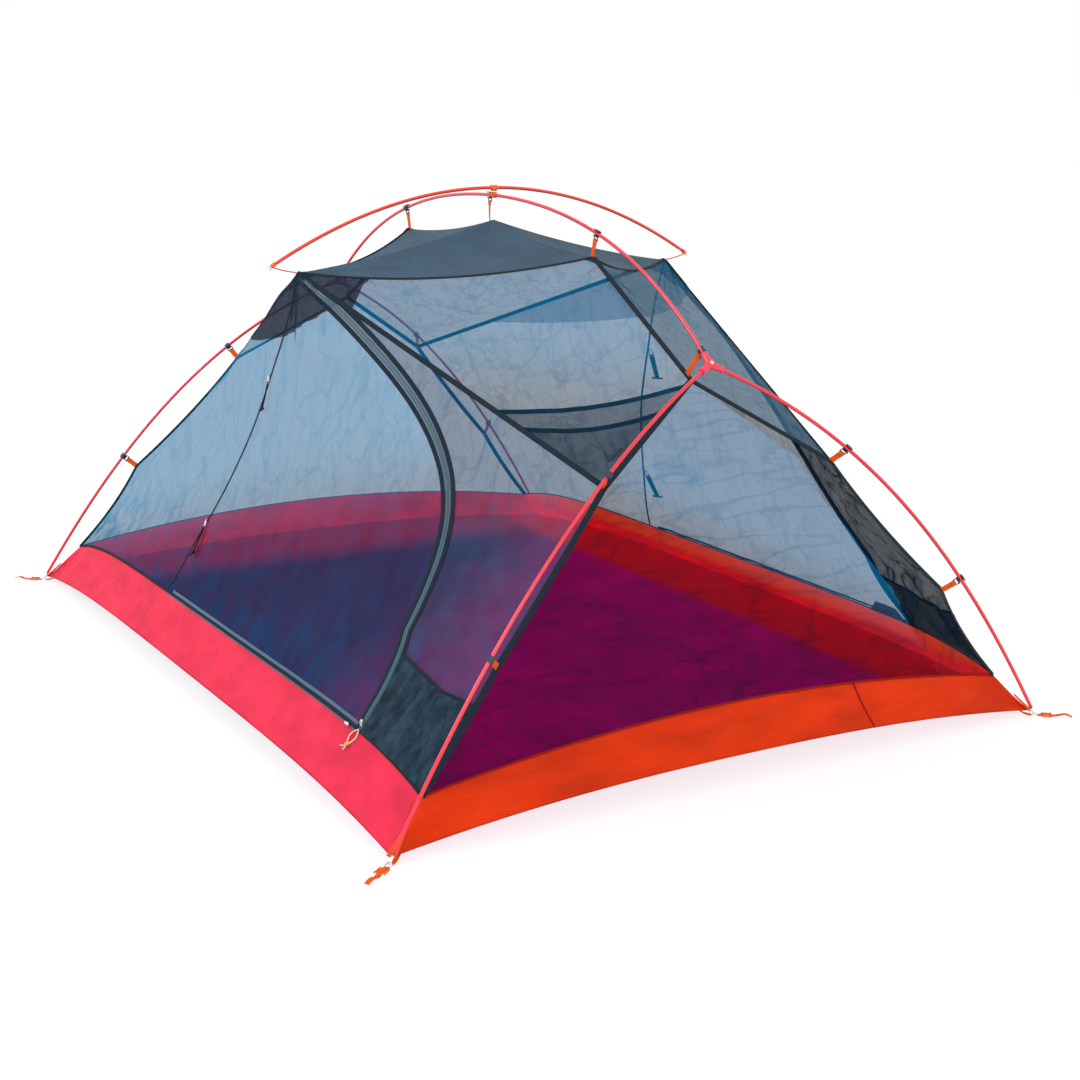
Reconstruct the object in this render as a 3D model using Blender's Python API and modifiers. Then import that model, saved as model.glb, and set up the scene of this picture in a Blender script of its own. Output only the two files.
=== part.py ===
"""A two-door mesh tent pitched on its pole frame, as an assembly of sewn panels, poles and fittings.

Metres, +Z up. The origin is on the ground under the middle of the floor. +X runs along the ridge
towards the "right" end, and -Y is the "front" side with the first door. The tent is symmetric
about the plane y = 0, apart from the small clip and connector at the crossing of the poles.
"""
import math

import bmesh
import bpy
from mathutils import Matrix, Vector

# Corners of the pole frame and of the tub floor
TIP_X = 1.075
TIP_Y = 0.825
FOOT_X = 1.066
FOOT_Y = 0.816
FOOT_Z = 0.012
FLOOR_LIFT_LONG = 0.042
FLOOR_LIFT_END = 0.048
FLOOR_FLAT_SHARE = 0.75

# Upper edge of the tub walls
TUB_X = 1.026
TUB_Y = 0.732
TUB_CORNER_Z = 0.099
TUB_RISE_LONG = 0.050
TUB_RISE_END = 0.062

# Corners of the canopy
APEX_Z = 1.062
RIDGE_END = Vector((0.439, 0.0, 1.009))
AWNING = Vector((0.0, -0.511, 0.951))
HUB_CORNER = Vector((0.816, 0.0, 0.790))
UPPER_CLIP = Vector((0.9345, -0.287, 0.618))
LOWER_CLIP = Vector((1.0096, -0.566, 0.3174))
ROOF_EDGE_SAG = 0.028
ROOF_SAG = 0.012
WALL_SAG = 0.045
END_SAG = 0.020

# Door in the long wall: the seam it folds along, and its curved zip
DOOR_SEAM_X = -0.326
DOOR_FOLD = 0.045
ZIP_X = 0.765
ZIP_PULL_TOP = (0.67, 0.66)
ZIP_PULL_FOOT = (0.68, 0.58)
DOOR_BOTTOM_GAP = 0.004
FOOT_DRAW = 0.15
ZIP_GAP = 0.003

# Poles
POLE_RADIUS = 0.00425
RIDGE_TOP = 1.120
RIDGE_BEND = 0.246
RIDGE_DROOP = 0.1667
CROSS_TOP = 1.138
CROSS_BEND = 0.512
CROSS_HALF = 0.567
HUB_X = 0.877
LEG_BENDS = (Vector((0.9964, -0.3516, 0.682)), Vector((1.0374, -0.6035, 0.377)))
LEG_CLIPS = (0.3116, 0.6733)
RIDGE_CLIP_X = 0.451
HUB_CLIP_X = 0.8478
CENTRE_CLIP_X = -0.0175
TIP_PIN_SHARE = 0.54
TIP_PIN_LENGTH = 0.016

# Fittings
FABRIC = 0.0012
SEAM = 0.0022
HUB_SOCKET = 0.030
HUB_SOCKET_RADIUS = 0.0072
CLIP_LENGTH = 0.014
CLIP_BORE = 0.0050
CLIP_WALL = 0.0025
CLIP_LIP = 0.0045
TAB_THICKNESS = 0.0022
SWIVEL_HALF = 0.0085
CORD_RADIUS = 0.0014
STRAP_LENGTH = 0.085
STRAP_WAY = Vector((0.6, 0.8, 0.0))

SIDES = (("front", 1), ("back", -1))
ENDS = (("right", 1), ("left", -1))

COLOURS = {
    "ripstop_red": ((0.90, 0.06, 0.09, 1), 0.55, 0.0),
    "ripstop_orange": ((0.80, 0.07, 0.01, 1), 0.55, 0.0),
    "floor_purple": ((0.16, 0.00, 0.09, 1), 0.5, 0.0),
    "roof_slate": ((0.06, 0.10, 0.14, 1), 0.6, 0.0),
    "mesh_grey": ((0.22, 0.33, 0.44, 1), 0.7, 0.0),
    "pocket_mesh": ((0.05, 0.08, 0.10, 1), 0.7, 0.0),
    "pole_red": ((0.75, 0.03, 0.06, 1), 0.25, 0.6),
    "hub_red": ((0.75, 0.05, 0.08, 1), 0.4, 0.0),
    "connector_orange": ((0.80, 0.13, 0.01, 1), 0.5, 0.0),
    "clip_black": ((0.02, 0.03, 0.04, 1), 0.45, 0.0),
    "webbing_orange": ((0.80, 0.13, 0.01, 1), 0.75, 0.0),
    "zip_silver": ((0.75, 0.76, 0.78, 1), 0.3, 0.9),
    "cord_cream": ((0.85, 0.80, 0.55, 1), 0.8, 0.0),
}


def clear_scene():
    for item in list(bpy.data.objects):
        bpy.data.objects.remove(item)


def new_collection(name):
    collection = bpy.data.collections.new(name)
    bpy.context.scene.collection.children.link(collection)
    return collection


def material(name):
    found = bpy.data.materials.get(name)
    if found:
        return found
    colour, roughness, metallic = COLOURS[name]
    made = bpy.data.materials.new(name)
    made.use_nodes = True
    shader = made.node_tree.nodes["Principled BSDF"]
    shader.inputs["Base Color"].default_value = colour
    shader.inputs["Roughness"].default_value = roughness
    shader.inputs["Metallic"].default_value = metallic
    made.diffuse_color = colour
    return made


def add_object(name, data, slot, origin=(0, 0, 0)):
    """Links data as an object whose origin is moved to the given point, with its shape left in place."""
    made = bpy.data.objects.new(name, data)
    data.materials.clear()
    data.materials.append(material(slot))
    data.transform(Matrix.Translation(-Vector(origin)))
    made.location = origin
    PARTS.objects.link(made)
    return made


def mesh_from(shape, name):
    mesh = bpy.data.meshes.new(name)
    bmesh.ops.recalc_face_normals(shape, faces=shape.faces)
    shape.to_mesh(mesh)
    shape.free()
    return mesh


# ---------------------------------------------------------------- the canopy's surfaces


def tub_rise(x):
    return TUB_CORNER_Z + TUB_RISE_LONG * (1 - min(1, abs(x / TUB_X)) ** 6)


def tub_top_long(x, side):
    return Vector((x, -side * TUB_Y, tub_rise(x)))


def tub_top_end(y, end):
    return Vector((end * TUB_X, y, TUB_CORNER_Z + TUB_RISE_END * (1 - (y / TUB_Y) ** 2)))


def floor_lift_long(x):
    return FLOOR_LIFT_LONG * (1 - min(1, abs(x / FOOT_X)) ** 4)


def floor_lift_end(y):
    return FLOOR_LIFT_END * (1 - min(1, abs(y / FOOT_Y)) ** 2.4)


def ramp(share):
    """0 over the flat middle of the floor, rising smoothly to 1 at its edge."""
    return max(0, (abs(share) - FLOOR_FLAT_SHARE) / (1 - FLOOR_FLAT_SHARE)) ** 2


def floor_point(x, y):
    across, along = ramp(y / FOOT_Y), ramp(x / FOOT_X)
    lift = across * floor_lift_long(x) + along * floor_lift_end(y)
    lift += FOOT_Z * max(across, along)
    return Vector((x, y, lift + FABRIC / 2))


def along_legs(z):
    """The canopy's edge beside a leg pole at height z, then the seam up to the awning corner: (x, y)."""
    stops = (Vector((TUB_X, -TUB_Y, TUB_CORNER_Z)), LOWER_CLIP, UPPER_CLIP, AWNING)
    z = min(max(z, stops[0].z), stops[-1].z)
    for low, high in zip(stops, stops[1:]):
        if z <= high.z:
            here = low.lerp(high, (z - low.z) / (high.z - low.z))
            return here.x, here.y
    return AWNING.x, AWNING.y


def wall_middle(z):
    """y of the long wall above the middle of the tub: a straight line that tension pulls inwards."""
    foot_z = tub_rise(0)
    share = min(max((z - foot_z) / (AWNING.z - foot_z), 0), 1)
    return -TUB_Y + (AWNING.y + TUB_Y) * share + WALL_SAG * math.sin(math.pi * share)


def wall_depth(x, z):
    """y of the front wall at its lie between the legs, before its foot is drawn out to the tub."""
    edge_x, edge_y = along_legs(z)
    middle = wall_middle(z)
    share = min(1, abs(x) / edge_x) if edge_x > 1e-6 else 0
    return middle + (edge_y - middle) * share**2


def wall_point(x, z, side):
    """A point of the long wall, a saddle between the tub, the leg clips and the awning corner."""
    foot_z = tub_rise(x)
    fade = max(0, 1 - max(0, z - foot_z) / FOOT_DRAW) ** 2
    return Vector((x, side * (wall_depth(x, z) - (TUB_Y + wall_depth(x, foot_z)) * fade), z))


def seam_x(z):
    """x of the seam that the door hangs from, at height z."""
    foot_z = tub_rise(DOOR_SEAM_X)
    return DOOR_SEAM_X * (AWNING.z - z) / (AWNING.z - foot_z)


def zip_xz(share):
    """(x, z) of the curved zip, from its foot at 0 to the awning corner at 1."""
    low, high = 1 - share, share
    foot = (ZIP_X, tub_rise(ZIP_X))
    top = (AWNING.x, AWNING.z)
    weights = (low**3, 3 * low**2 * high, 3 * low * high**2, high**3)
    points = (foot, ZIP_PULL_FOOT, ZIP_PULL_TOP, top)
    return tuple(sum(w * p[i] for w, p in zip(weights, points)) for i in (0, 1))


def zip_x(z):
    """x of the curved zip at height z, found by halving."""
    low, high = 0.0, 1.0
    for _ in range(30):
        half = (low + high) / 2
        if zip_xz(half)[1] < z:
            low = half
        else:
            high = half
    return zip_xz(low)[0]


def roof_edge(share):
    """The roof's lower edge from the ridge end at 0 to the awning corner at 1, sagging between."""
    here = RIDGE_END.lerp(AWNING, share)
    here.z -= 4 * ROOF_EDGE_SAG * share * (1 - share)
    return here


def mirrored(point, end=1, side=1):
    return Vector((end * point.x, side * point.y, point.z))


# ---------------------------------------------------------------- sewn panels


def panel(name, slot, grid):
    """A thin panel of fabric over a grid of points given as rows, each row running the same way."""
    shape = bmesh.new()
    rows = [[shape.verts.new(point) for point in row] for row in grid]
    for lower, upper in zip(rows, rows[1:]):
        for i in range(len(lower) - 1):
            shape.faces.new((lower[i], lower[i + 1], upper[i + 1], upper[i]))
    made = add_object(name, mesh_from(shape, name), slot)
    return thicken(made)


def thicken(made):
    shell = made.modifiers.new("Fabric", "SOLIDIFY")
    shell.thickness = FABRIC
    shell.offset = 0
    shell.use_even_offset = False
    return made


def steps(count, low=0.0, high=1.0):
    return [low + (high - low) * i / count for i in range(count + 1)]


def between(start, end, count):
    """Points from start to end, each end drawn in by the width of a seam."""
    inset = min(0.4, SEAM / max((end - start).length, 1e-6))
    return [start.lerp(end, share) for share in steps(count, inset, 1 - inset)]


def make_floor():
    xs = [FOOT_X * s for s in (-0.997, -0.93, -0.86, -0.75, -0.4, 0, 0.4, 0.75, 0.86, 0.93, 0.997)]
    ys = [FOOT_Y * s for s in (-0.997, -0.91, -0.83, -0.75, 0, 0.75, 0.83, 0.91, 0.997)]
    panel("floor", "floor_purple", [[floor_point(x, y) for x in xs] for y in ys])


def make_tub_wall(name, slot, low, high, count):
    """A tub wall between its foot and its top edge, given as functions of a share from -1 to 1."""
    grid = []
    for share in steps(count, -1, 1):
        start, end = low(share), high(share)
        rise = (end - start).normalized() * SEAM
        start, end = start + rise, end - rise
        grid.append([start, start.lerp(end, 0.5) + Vector((0, 0, -0.002)), end])
    panel(name, slot, grid)


def make_tub():
    near_corner = 0.988
    for name, side in SIDES:

        def low(s, side=side):
            x = s * FOOT_X * near_corner
            return Vector((x, -side * (FOOT_Y + 0.001), FOOT_Z + floor_lift_long(x) + 0.002))

        def high(s, side=side):
            return tub_top_long(s * TUB_X * near_corner, side)

        make_tub_wall(f"tub_{name}", "ripstop_red", low, high, 18)
    for name, end in ENDS:

        def low(s, end=end):
            y = s * FOOT_Y * near_corner
            return Vector((end * (FOOT_X + 0.001), y, FOOT_Z + floor_lift_end(y) + 0.002))

        def high(s, end=end):
            return tub_top_end(s * TUB_Y * near_corner, end)

        make_tub_wall(f"tub_end_{name}", "ripstop_orange", low, high, 16)


def leg_heights(low, high, count):
    """Heights from low to high, about evenly spaced, that pass through both leg clips."""
    stops = [z for z in (low, LOWER_CLIP.z, UPPER_CLIP.z, high) if low <= z <= high]
    heights = []
    for start, end in zip(stops, stops[1:]):
        pieces = max(1, round(count * (end - start) / (high - low)))
        heights += steps(pieces, start, end)[:-1]
    return heights + [high]


def wall_row(first_x, last_x, z_first, z_last, rise, side, count):
    """One row across the long wall, lifted where the tub's edge is higher than the straight line."""
    start = Vector((first_x, 0, z_first))
    end = Vector((last_x, 0, z_last))
    points = []
    for flat in between(start, end, count):
        share = (flat.x - first_x) / (last_x - first_x)
        line = z_first + (z_last - z_first) * share
        tub = tub_rise(flat.x) + DOOR_BOTTOM_GAP
        z = line + rise * (tub - (tub_rise(first_x) * (1 - share) + tub_rise(last_x) * share) - DOOR_BOTTOM_GAP)
        points.append(wall_point(flat.x, z, side))
    return points


def make_walls():
    top = 0.925
    for side_name, side in SIDES:
        rows = []
        foot = TUB_CORNER_Z + DOOR_BOTTOM_GAP + 0.004
        for z_leg in leg_heights(foot, top, 9):
            share = (z_leg - foot) / (top - foot)
            z_seam = tub_rise(DOOR_SEAM_X) + DOOR_BOTTOM_GAP + (top - tub_rise(DOOR_SEAM_X)) * share
            z_seam = min(z_seam, top)
            edge = -along_legs(z_leg)[0]
            fold = seam_x(z_seam) + DOOR_FOLD
            rows.append(wall_row(edge, fold, z_leg, z_seam, 1 - share, side, 6))
        panel(f"{side_name}_wall_left", "mesh_grey", rows)

        rows = []
        for z_leg in leg_heights(foot, 0.79, 9):
            share = (z_leg - foot) / (0.79 - foot)
            z_zip = tub_rise(ZIP_X) + DOOR_BOTTOM_GAP + (0.80 - tub_rise(ZIP_X)) * share
            edge = along_legs(z_leg)[0]
            rows.append(wall_row(zip_x(z_zip) + ZIP_GAP, edge, z_zip, z_leg, 1 - share, side, 3))
        panel(f"{side_name}_wall_right", "mesh_grey", rows)


def make_doors():
    """Each door is its own panel, with its origin on the straight line that it swings about."""
    for side_name, side in SIDES:
        rows = []
        for share in steps(10, 0, 0.955):
            x_zip, z_zip = zip_xz(share)
            z_zip += DOOR_BOTTOM_GAP * (1 - share)
            foot_z = tub_rise(DOOR_SEAM_X) + DOOR_BOTTOM_GAP
            z_fold = foot_z + (0.925 - foot_z) * share / 0.955
            fold = seam_x(z_fold) + DOOR_FOLD
            rows.append(wall_row(fold, x_zip, z_fold, z_zip, 1 - share, side, 9))
        panel(f"{side_name}_door", "mesh_grey", rows)


def end_point(y, z, end):
    """A point of the mesh at an end: a saddle between the two legs, its middle drawn inwards."""
    foot = TUB_CORNER_Z + TUB_RISE_END
    share = min(max((z - foot) / (HUB_CORNER.z - foot), 0), 1)
    middle = TUB_X + (HUB_CORNER.x - TUB_X) * share - END_SAG * math.sin(math.pi * share)
    edge_x, edge_y = end_edge(z)
    part = min(1, abs(y / edge_y)) if edge_y else 0
    return Vector((end * (middle + (edge_x - middle) * part**2), y, z))


def end_edge(z):
    if z <= UPPER_CLIP.z:
        return along_legs(z)
    here = UPPER_CLIP.lerp(HUB_CORNER, min(1, (z - UPPER_CLIP.z) / (HUB_CORNER.z - UPPER_CLIP.z)))
    return here.x, here.y


def make_end_meshes():
    top = 0.772
    for name, end in ENDS:
        rows = []
        foot = TUB_CORNER_Z + 0.010
        for z_edge in leg_heights(foot, top, 9):
            share = (z_edge - foot) / (top - foot)
            reach = -end_edge(z_edge)[1] - SEAM
            row = []
            for part in steps(8, -1, 1):
                y = reach * part
                rise = TUB_RISE_END * (1 - part**2) * (1 - share)
                row.append(end_point(y, min(z_edge + rise, top), end))
            rows.append(row)
        panel(f"end_mesh_{name}", "mesh_grey", rows)


def make_roof():
    """The roof is a shallow four-sided tent cut short of its seams, with its middle held up."""
    middle = Vector((0, 0, APEX_Z))
    edge = []
    for end, side in ((1, 1), (-1, 1), (-1, -1), (1, -1)):
        shares = steps(6)[:-1] if end == side else steps(6)[:0:-1]
        edge += [mirrored(roof_edge(share), end, side) for share in shares]
    shape = bmesh.new()
    centre = shape.verts.new(middle)
    rings = []
    for part in (0.3, 0.65, 0.99):
        ring = []
        for point in edge:
            here = middle.lerp(point, part)
            here.z -= 4 * ROOF_SAG * part * (1 - part)
            ring.append(shape.verts.new(here))
        rings.append(ring)
    for i in range(len(edge)):
        j = (i + 1) % len(edge)
        shape.faces.new((centre, rings[0][i], rings[0][j]))
        for inner, outer in zip(rings, rings[1:]):
            shape.faces.new((inner[i], outer[i], outer[j], inner[j]))
    thicken(add_object("roof_panel", mesh_from(shape, "roof_panel"), "roof_slate"))


def upper_row(share, end, side):
    """From the roof's edge down to the edge between the upper clip and the hub corner."""
    inner = roof_edge(share)
    outer = HUB_CORNER.lerp(UPPER_CLIP, share)
    row = [mirrored(point, end, side) for point in between(inner, outer, 4)]
    return row


def make_upper_meshes():
    shares = (0.955, 0.8, 0.6, 0.4, 0.2, 0.0)
    for name, end in ENDS:
        front = [upper_row(share, end, 1) for share in shares]
        back = [upper_row(share, end, -1) for share in reversed(shares[:-1])]
        panel(f"upper_mesh_{name}", "mesh_grey", front + back)


def make_gear_pocket():
    """A triangle of mesh that hangs just inside the corner between the upper clip and the hub."""
    start = AWNING.lerp(UPPER_CLIP, 0.70)
    drop = Vector((-0.018, 0.016, -0.030))
    rows = []
    for share in steps(5, 0, 0.9):
        first = start.lerp(UPPER_CLIP, share)
        last = HUB_CORNER.lerp(UPPER_CLIP, share)
        row = []
        for part in steps(5, 0.06, 0.94):
            swell = 1 + 0.6 * math.sin(math.pi * part) * (1 - share)
            row.append(first.lerp(last, part) + drop * swell)
        rows.append(row)
    panel("gear_pocket", "pocket_mesh", rows)


# ---------------------------------------------------------------- poles


def ridge_point(x):
    return Vector((x, 0, RIDGE_TOP - RIDGE_BEND * x**2 - RIDGE_DROOP * x**4))


def ridge_way(x):
    return Vector((1, 0, -2 * RIDGE_BEND * x - 4 * RIDGE_DROOP * x**3)).normalized()


def cross_point(y):
    return Vector((0, y, CROSS_TOP - CROSS_BEND * y**2))


def leg_stops():
    return (ridge_point(HUB_X), *LEG_BENDS, Vector((TIP_X, -TIP_Y, 0.004)))


def leg_point(share):
    low, high = 1 - share, share
    weights = (low**3, 3 * low**2 * high, 3 * low * high**2, high**3)
    return sum((w * p for w, p in zip(weights, leg_stops())), Vector((0, 0, 0)))


def leg_way(share):
    stops = leg_stops()
    low, high = 1 - share, share
    weights = (low**2, 2 * low * high, high**2)
    pull = sum((w * (b - a) for w, a, b in zip(weights, stops, stops[1:])), Vector((0, 0, 0)))
    return pull.normalized()


def tube(name, slot, points, radius, shares=None, sides=2, origin=(0, 0, 0)):
    """A round rod or cord through the points. shares scale its radius at each point."""
    curve = bpy.data.curves.new(name, "CURVE")
    curve.dimensions = "3D"
    curve.bevel_depth = radius
    curve.bevel_resolution = sides
    curve.use_fill_caps = True
    spline = curve.splines.new("POLY")
    spline.points.add(len(points) - 1)
    for i, (slot_point, point) in enumerate(zip(spline.points, points)):
        slot_point.co = (*point, 1)
        slot_point.radius = shares[i] if shares else 1
    return add_object(name, curve, slot, origin)


def make_ridge_pole():
    inner = ridge_way(HUB_X)
    hub = ridge_point(HUB_X)
    half = [ridge_point(x) for x in (0, 0.03, 0.15, 0.30, RIDGE_CLIP_X, 0.55, 0.65, 0.74, 0.81)]
    half += [hub - inner * (HUB_SOCKET + 0.004), hub - inner * 0.012]
    points = [mirrored(point, -1) for point in reversed(half[1:])] + half
    tube("ridge_pole", "pole_red", points, POLE_RADIUS)


def make_cross_pole():
    points = [cross_point(y * CROSS_HALF) for y in steps(12, -1, 1)]
    tube("cross_pole", "pole_red", points, POLE_RADIUS, origin=(0, 0, CROSS_TOP))


def make_legs():
    hub, way = ridge_point(HUB_X), leg_way(0)
    foot, last = leg_point(1), leg_way(1)
    curved = (0.10, 0.17, 0.24, LEG_CLIPS[0], 0.39, 0.48, 0.57, LEG_CLIPS[1], 0.76, 0.85, 0.93)
    points = [hub + way * 0.012, hub + way * (HUB_SOCKET + 0.004)]
    points += [leg_point(share) for share in curved]
    points += [foot - last * (TIP_PIN_LENGTH + 0.002), foot - last * TIP_PIN_LENGTH, foot]
    shares = [1] * (len(points) - 2) + [TIP_PIN_SHARE] * 2
    for side_name, side in SIDES:
        for end_name, end in ENDS:
            here = [mirrored(point, end, side) for point in points]
            tube(f"leg_pole_{side_name}_{end_name}", "pole_red", here, POLE_RADIUS, shares)


# ---------------------------------------------------------------- solids from primitives


def box(size, centre=(0, 0, 0)):
    shape = bmesh.new()
    bmesh.ops.create_cube(shape, size=1, matrix=Matrix.Translation(centre) @ Matrix.Diagonal((*size, 1)))
    return shape


def rod(radius, start, end, sides=12):
    """A cylinder from start to end."""
    start, end = Vector(start), Vector(end)
    way = end - start
    turn = way.to_track_quat("Z", "Y").to_matrix().to_4x4()
    place = Matrix.Translation((start + end) / 2) @ turn
    shape = bmesh.new()
    bmesh.ops.create_cone(
        shape, cap_ends=True, segments=sides, radius1=radius, radius2=radius, depth=way.length, matrix=place
    )
    return shape


def ball(radius, centre, detail=8):
    shape = bmesh.new()
    bmesh.ops.create_uvsphere(
        shape, u_segments=detail + 2, v_segments=detail - 2, radius=radius, matrix=Matrix.Translation(centre)
    )
    return shape


def cutter(shape, name):
    helper = bpy.data.objects.new(name, mesh_from(shape, name))
    helper.display_type = "WIRE"
    helper.hide_render = True
    CUTTERS.objects.link(helper)
    return helper


def combine(made, shape, operation):
    """Joins a shape to an object, or cuts it away, by a Boolean modifier."""
    change = made.modifiers.new(operation.title(), "BOOLEAN")
    change.operation = operation
    change.solver = "EXACT"
    change.object = cutter(shape, f"{made.name}_{operation.lower()}_{len(made.modifiers)}")
    return made


def make_hubs():
    for end_name, end in ENDS:
        hub = mirrored(ridge_point(HUB_X), end)
        ways = [mirrored(-ridge_way(HUB_X), end)]
        ways += [mirrored(leg_way(0), end, side) for side in (1, -1)]
        made = add_object(f"hub_{end_name}", mesh_from(ball(0.0095, hub), "hub"), "hub_red")
        for way in ways:
            combine(made, rod(HUB_SOCKET_RADIUS, hub, hub + way * HUB_SOCKET), "UNION")
        for way in ways:
            start = hub + way * 0.0115
            combine(made, rod(POLE_RADIUS + 0.0005, start, start + way * HUB_SOCKET), "DIFFERENCE")


def make_swivel():
    """Two blocks at the crossing, one round each pole, the upper turning on the lower."""
    middle = (RIDGE_TOP + CROSS_TOP) / 2
    gap = 0.0003
    high = box((0.013, 2 * SWIVEL_HALF, CROSS_TOP + 0.0068 - middle - gap))
    bmesh.ops.translate(high, verts=high.verts, vec=(0, 0, (CROSS_TOP + 0.0068 + middle + gap) / 2))
    upper = add_object("swivel_upper", mesh_from(high, "swivel_upper"), "connector_orange", (0, 0, CROSS_TOP))
    bore = rod(POLE_RADIUS + 0.0006, (0, -0.03, CROSS_TOP - 0.0002), (0, 0.03, CROSS_TOP - 0.0002))
    bore_cut = cutter(bore, "swivel_upper_bore")
    change = upper.modifiers.new("Bore", "BOOLEAN")
    change.operation = "DIFFERENCE"
    change.object = bore_cut
    low = box((2 * SWIVEL_HALF, 0.013, middle - gap - RIDGE_TOP + 0.0068))
    bmesh.ops.translate(low, verts=low.verts, vec=(0, 0, (middle - gap + RIDGE_TOP - 0.0068) / 2))
    lower = add_object("swivel_lower", mesh_from(low, "swivel_lower"), "connector_orange")
    bore = rod(POLE_RADIUS + 0.0006, (-0.03, 0, RIDGE_TOP - 0.0001), (0.03, 0, RIDGE_TOP - 0.0001))
    combine(lower, bore, "DIFFERENCE")


# ---------------------------------------------------------------- clips on webbing tabs


def arc(centre_y, radius, start, end, count=6):
    """Points of an arc in the clip's cross-section, angles in degrees."""
    angles = [math.radians(a) for a in steps(count, start, end)]
    return [(radius * math.cos(a), centre_y + radius * math.sin(a)) for a in angles]


def clip_outline(reach, root):
    """A tab from root up to a hook round a pole whose centre is at reach, open towards +X."""
    outer = CLIP_BORE + CLIP_WALL
    half = TAB_THICKNESS / 2
    points = [(half, root), (half, reach - outer - 0.0002)]
    points += [(CLIP_LIP, reach - outer - 0.0002), (CLIP_LIP, reach - CLIP_BORE - 0.0005)]
    points += arc(reach, CLIP_BORE, 270, 90)
    points += [(CLIP_LIP, reach + CLIP_BORE), (CLIP_LIP, reach + outer)]
    points += arc(reach, outer, 90, 261)
    points += [(-half, root)]
    return points


def make_clip(name, canopy, pole, way, root=0.006):
    """A webbing tab and its hook, turning about the canopy corner to let the pole out sideways."""
    away = pole - canopy
    away -= way * away.dot(way)
    reach = away.length
    away.normalize()
    across = way.cross(away)
    place = Matrix((across, away, -way)).transposed().to_4x4()
    place.translation = pole - away * reach
    shape = bmesh.new()
    outline = [shape.verts.new((x, y, -CLIP_LENGTH / 2)) for x, y in clip_outline(reach, root)]
    face = shape.faces.new(outline)
    walls = bmesh.ops.extrude_face_region(shape, geom=[face])
    moved = [item for item in walls["geom"] if isinstance(item, bmesh.types.BMVert)]
    bmesh.ops.translate(shape, verts=moved, vec=(0, 0, CLIP_LENGTH))
    mesh = mesh_from(shape, name)
    made = bpy.data.objects.new(name, mesh)
    mesh.materials.append(material("clip_black"))
    made.matrix_world = place
    PARTS.objects.link(made)
    return made


def make_clips():
    apex = Vector((CENTRE_CLIP_X, 0, APEX_Z))
    make_clip("clip_centre", apex, ridge_point(CENTRE_CLIP_X), ridge_way(CENTRE_CLIP_X))
    for end_name, end in ENDS:
        corner = mirrored(RIDGE_END, end)
        pole = mirrored(ridge_point(RIDGE_CLIP_X), end)
        way = mirrored(ridge_way(RIDGE_CLIP_X), end)
        make_clip(f"clip_ridge_{end_name}", corner, pole, way)
        corner = mirrored(HUB_CORNER, end)
        pole = mirrored(ridge_point(HUB_CLIP_X), end)
        way = mirrored(ridge_way(HUB_CLIP_X), end)
        make_clip(f"clip_hub_{end_name}", corner, pole, way, 0.012)
        for side_name, side in SIDES:
            for level, corner, share in zip(("upper", "lower"), (UPPER_CLIP, LOWER_CLIP), LEG_CLIPS):
                pole = mirrored(leg_point(share), end, side)
                way = mirrored(leg_way(share), end, side)
                make_clip(f"clip_{level}_{side_name}_{end_name}", mirrored(corner, end, side), pole, way)


# ---------------------------------------------------------------- corners on the ground


def placed(shape, way, origin):
    """Turns a shape drawn along +X to run along way on the ground, and moves it to origin."""
    turn = Matrix.Rotation(math.atan2(way.y, way.x), 4, "Z")
    bmesh.ops.transform(shape, matrix=Matrix.Translation(origin) @ turn, verts=shape.verts)
    return shape


def make_corners():
    for side_name, side in SIDES:
        for end_name, end in ENDS:
            corner = Vector((end * TIP_X, -side * TIP_Y, 0))
            way = Vector((end * STRAP_WAY.x, -side * STRAP_WAY.y, 0))
            tab = placed(box((0.046, 0.018, 0.0026), (-0.008, 0, 0.0018)), way, corner)
            name = f"corner_tab_{side_name}_{end_name}"
            made = add_object(name, mesh_from(tab, name), "webbing_orange")
            hole = rod(0.0055, corner - Vector((0, 0, 0.01)), corner + Vector((0, 0, 0.01)))
            combine(made, hole, "DIFFERENCE")

            name = f"stake_strap_{side_name}_{end_name}"
            buckle = placed(box((0.022, 0.020, 0.0052), (0.0275, 0, 0.0032)), way, corner)
            made = add_object(name, mesh_from(buckle, name), "webbing_orange", corner + way * 0.0165)
            tail = box((STRAP_LENGTH - 0.030, 0.012, 0.0030), (0.030 + (STRAP_LENGTH - 0.030) / 2, 0, 0.0026))
            tail = placed(tail, way, corner)
            union = cutter(tail, f"{name}_tail")
            change = made.modifiers.new("Tail", "BOOLEAN")
            change.operation = "UNION"
            change.object = union


# ---------------------------------------------------------------- zips, toggles and cords


def make_sliders():
    for side_name, side in SIDES:
        size = (0.016, 0.0045, 0.0085)
        place = lower_slider_place(side)
        shape = box(size, place)
        name = f"{side_name}_zip_slider_lower"
        bevelled(add_object(name, mesh_from(shape, name), "zip_silver", place), 0.0012)
        place = upper_slider_place(side)
        shape = box((0.0085, 0.0045, 0.016), place)
        name = f"{side_name}_zip_slider_upper"
        bevelled(add_object(name, mesh_from(shape, name), "zip_silver", place), 0.0012)


def lower_slider_place(side):
    return Vector((0.725, -side * (TUB_Y + 0.0098), tub_rise(0.725) + 0.0020))


def upper_slider_place(side):
    x, z = zip_xz(0.012)
    here = wall_point(x, z, side)
    return here + Vector((0.002, -side * 0.0090, 0))


def bevelled(made, width):
    bevel = made.modifiers.new("Edges", "BEVEL")
    bevel.width = width
    bevel.segments = 1
    return made


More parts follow.
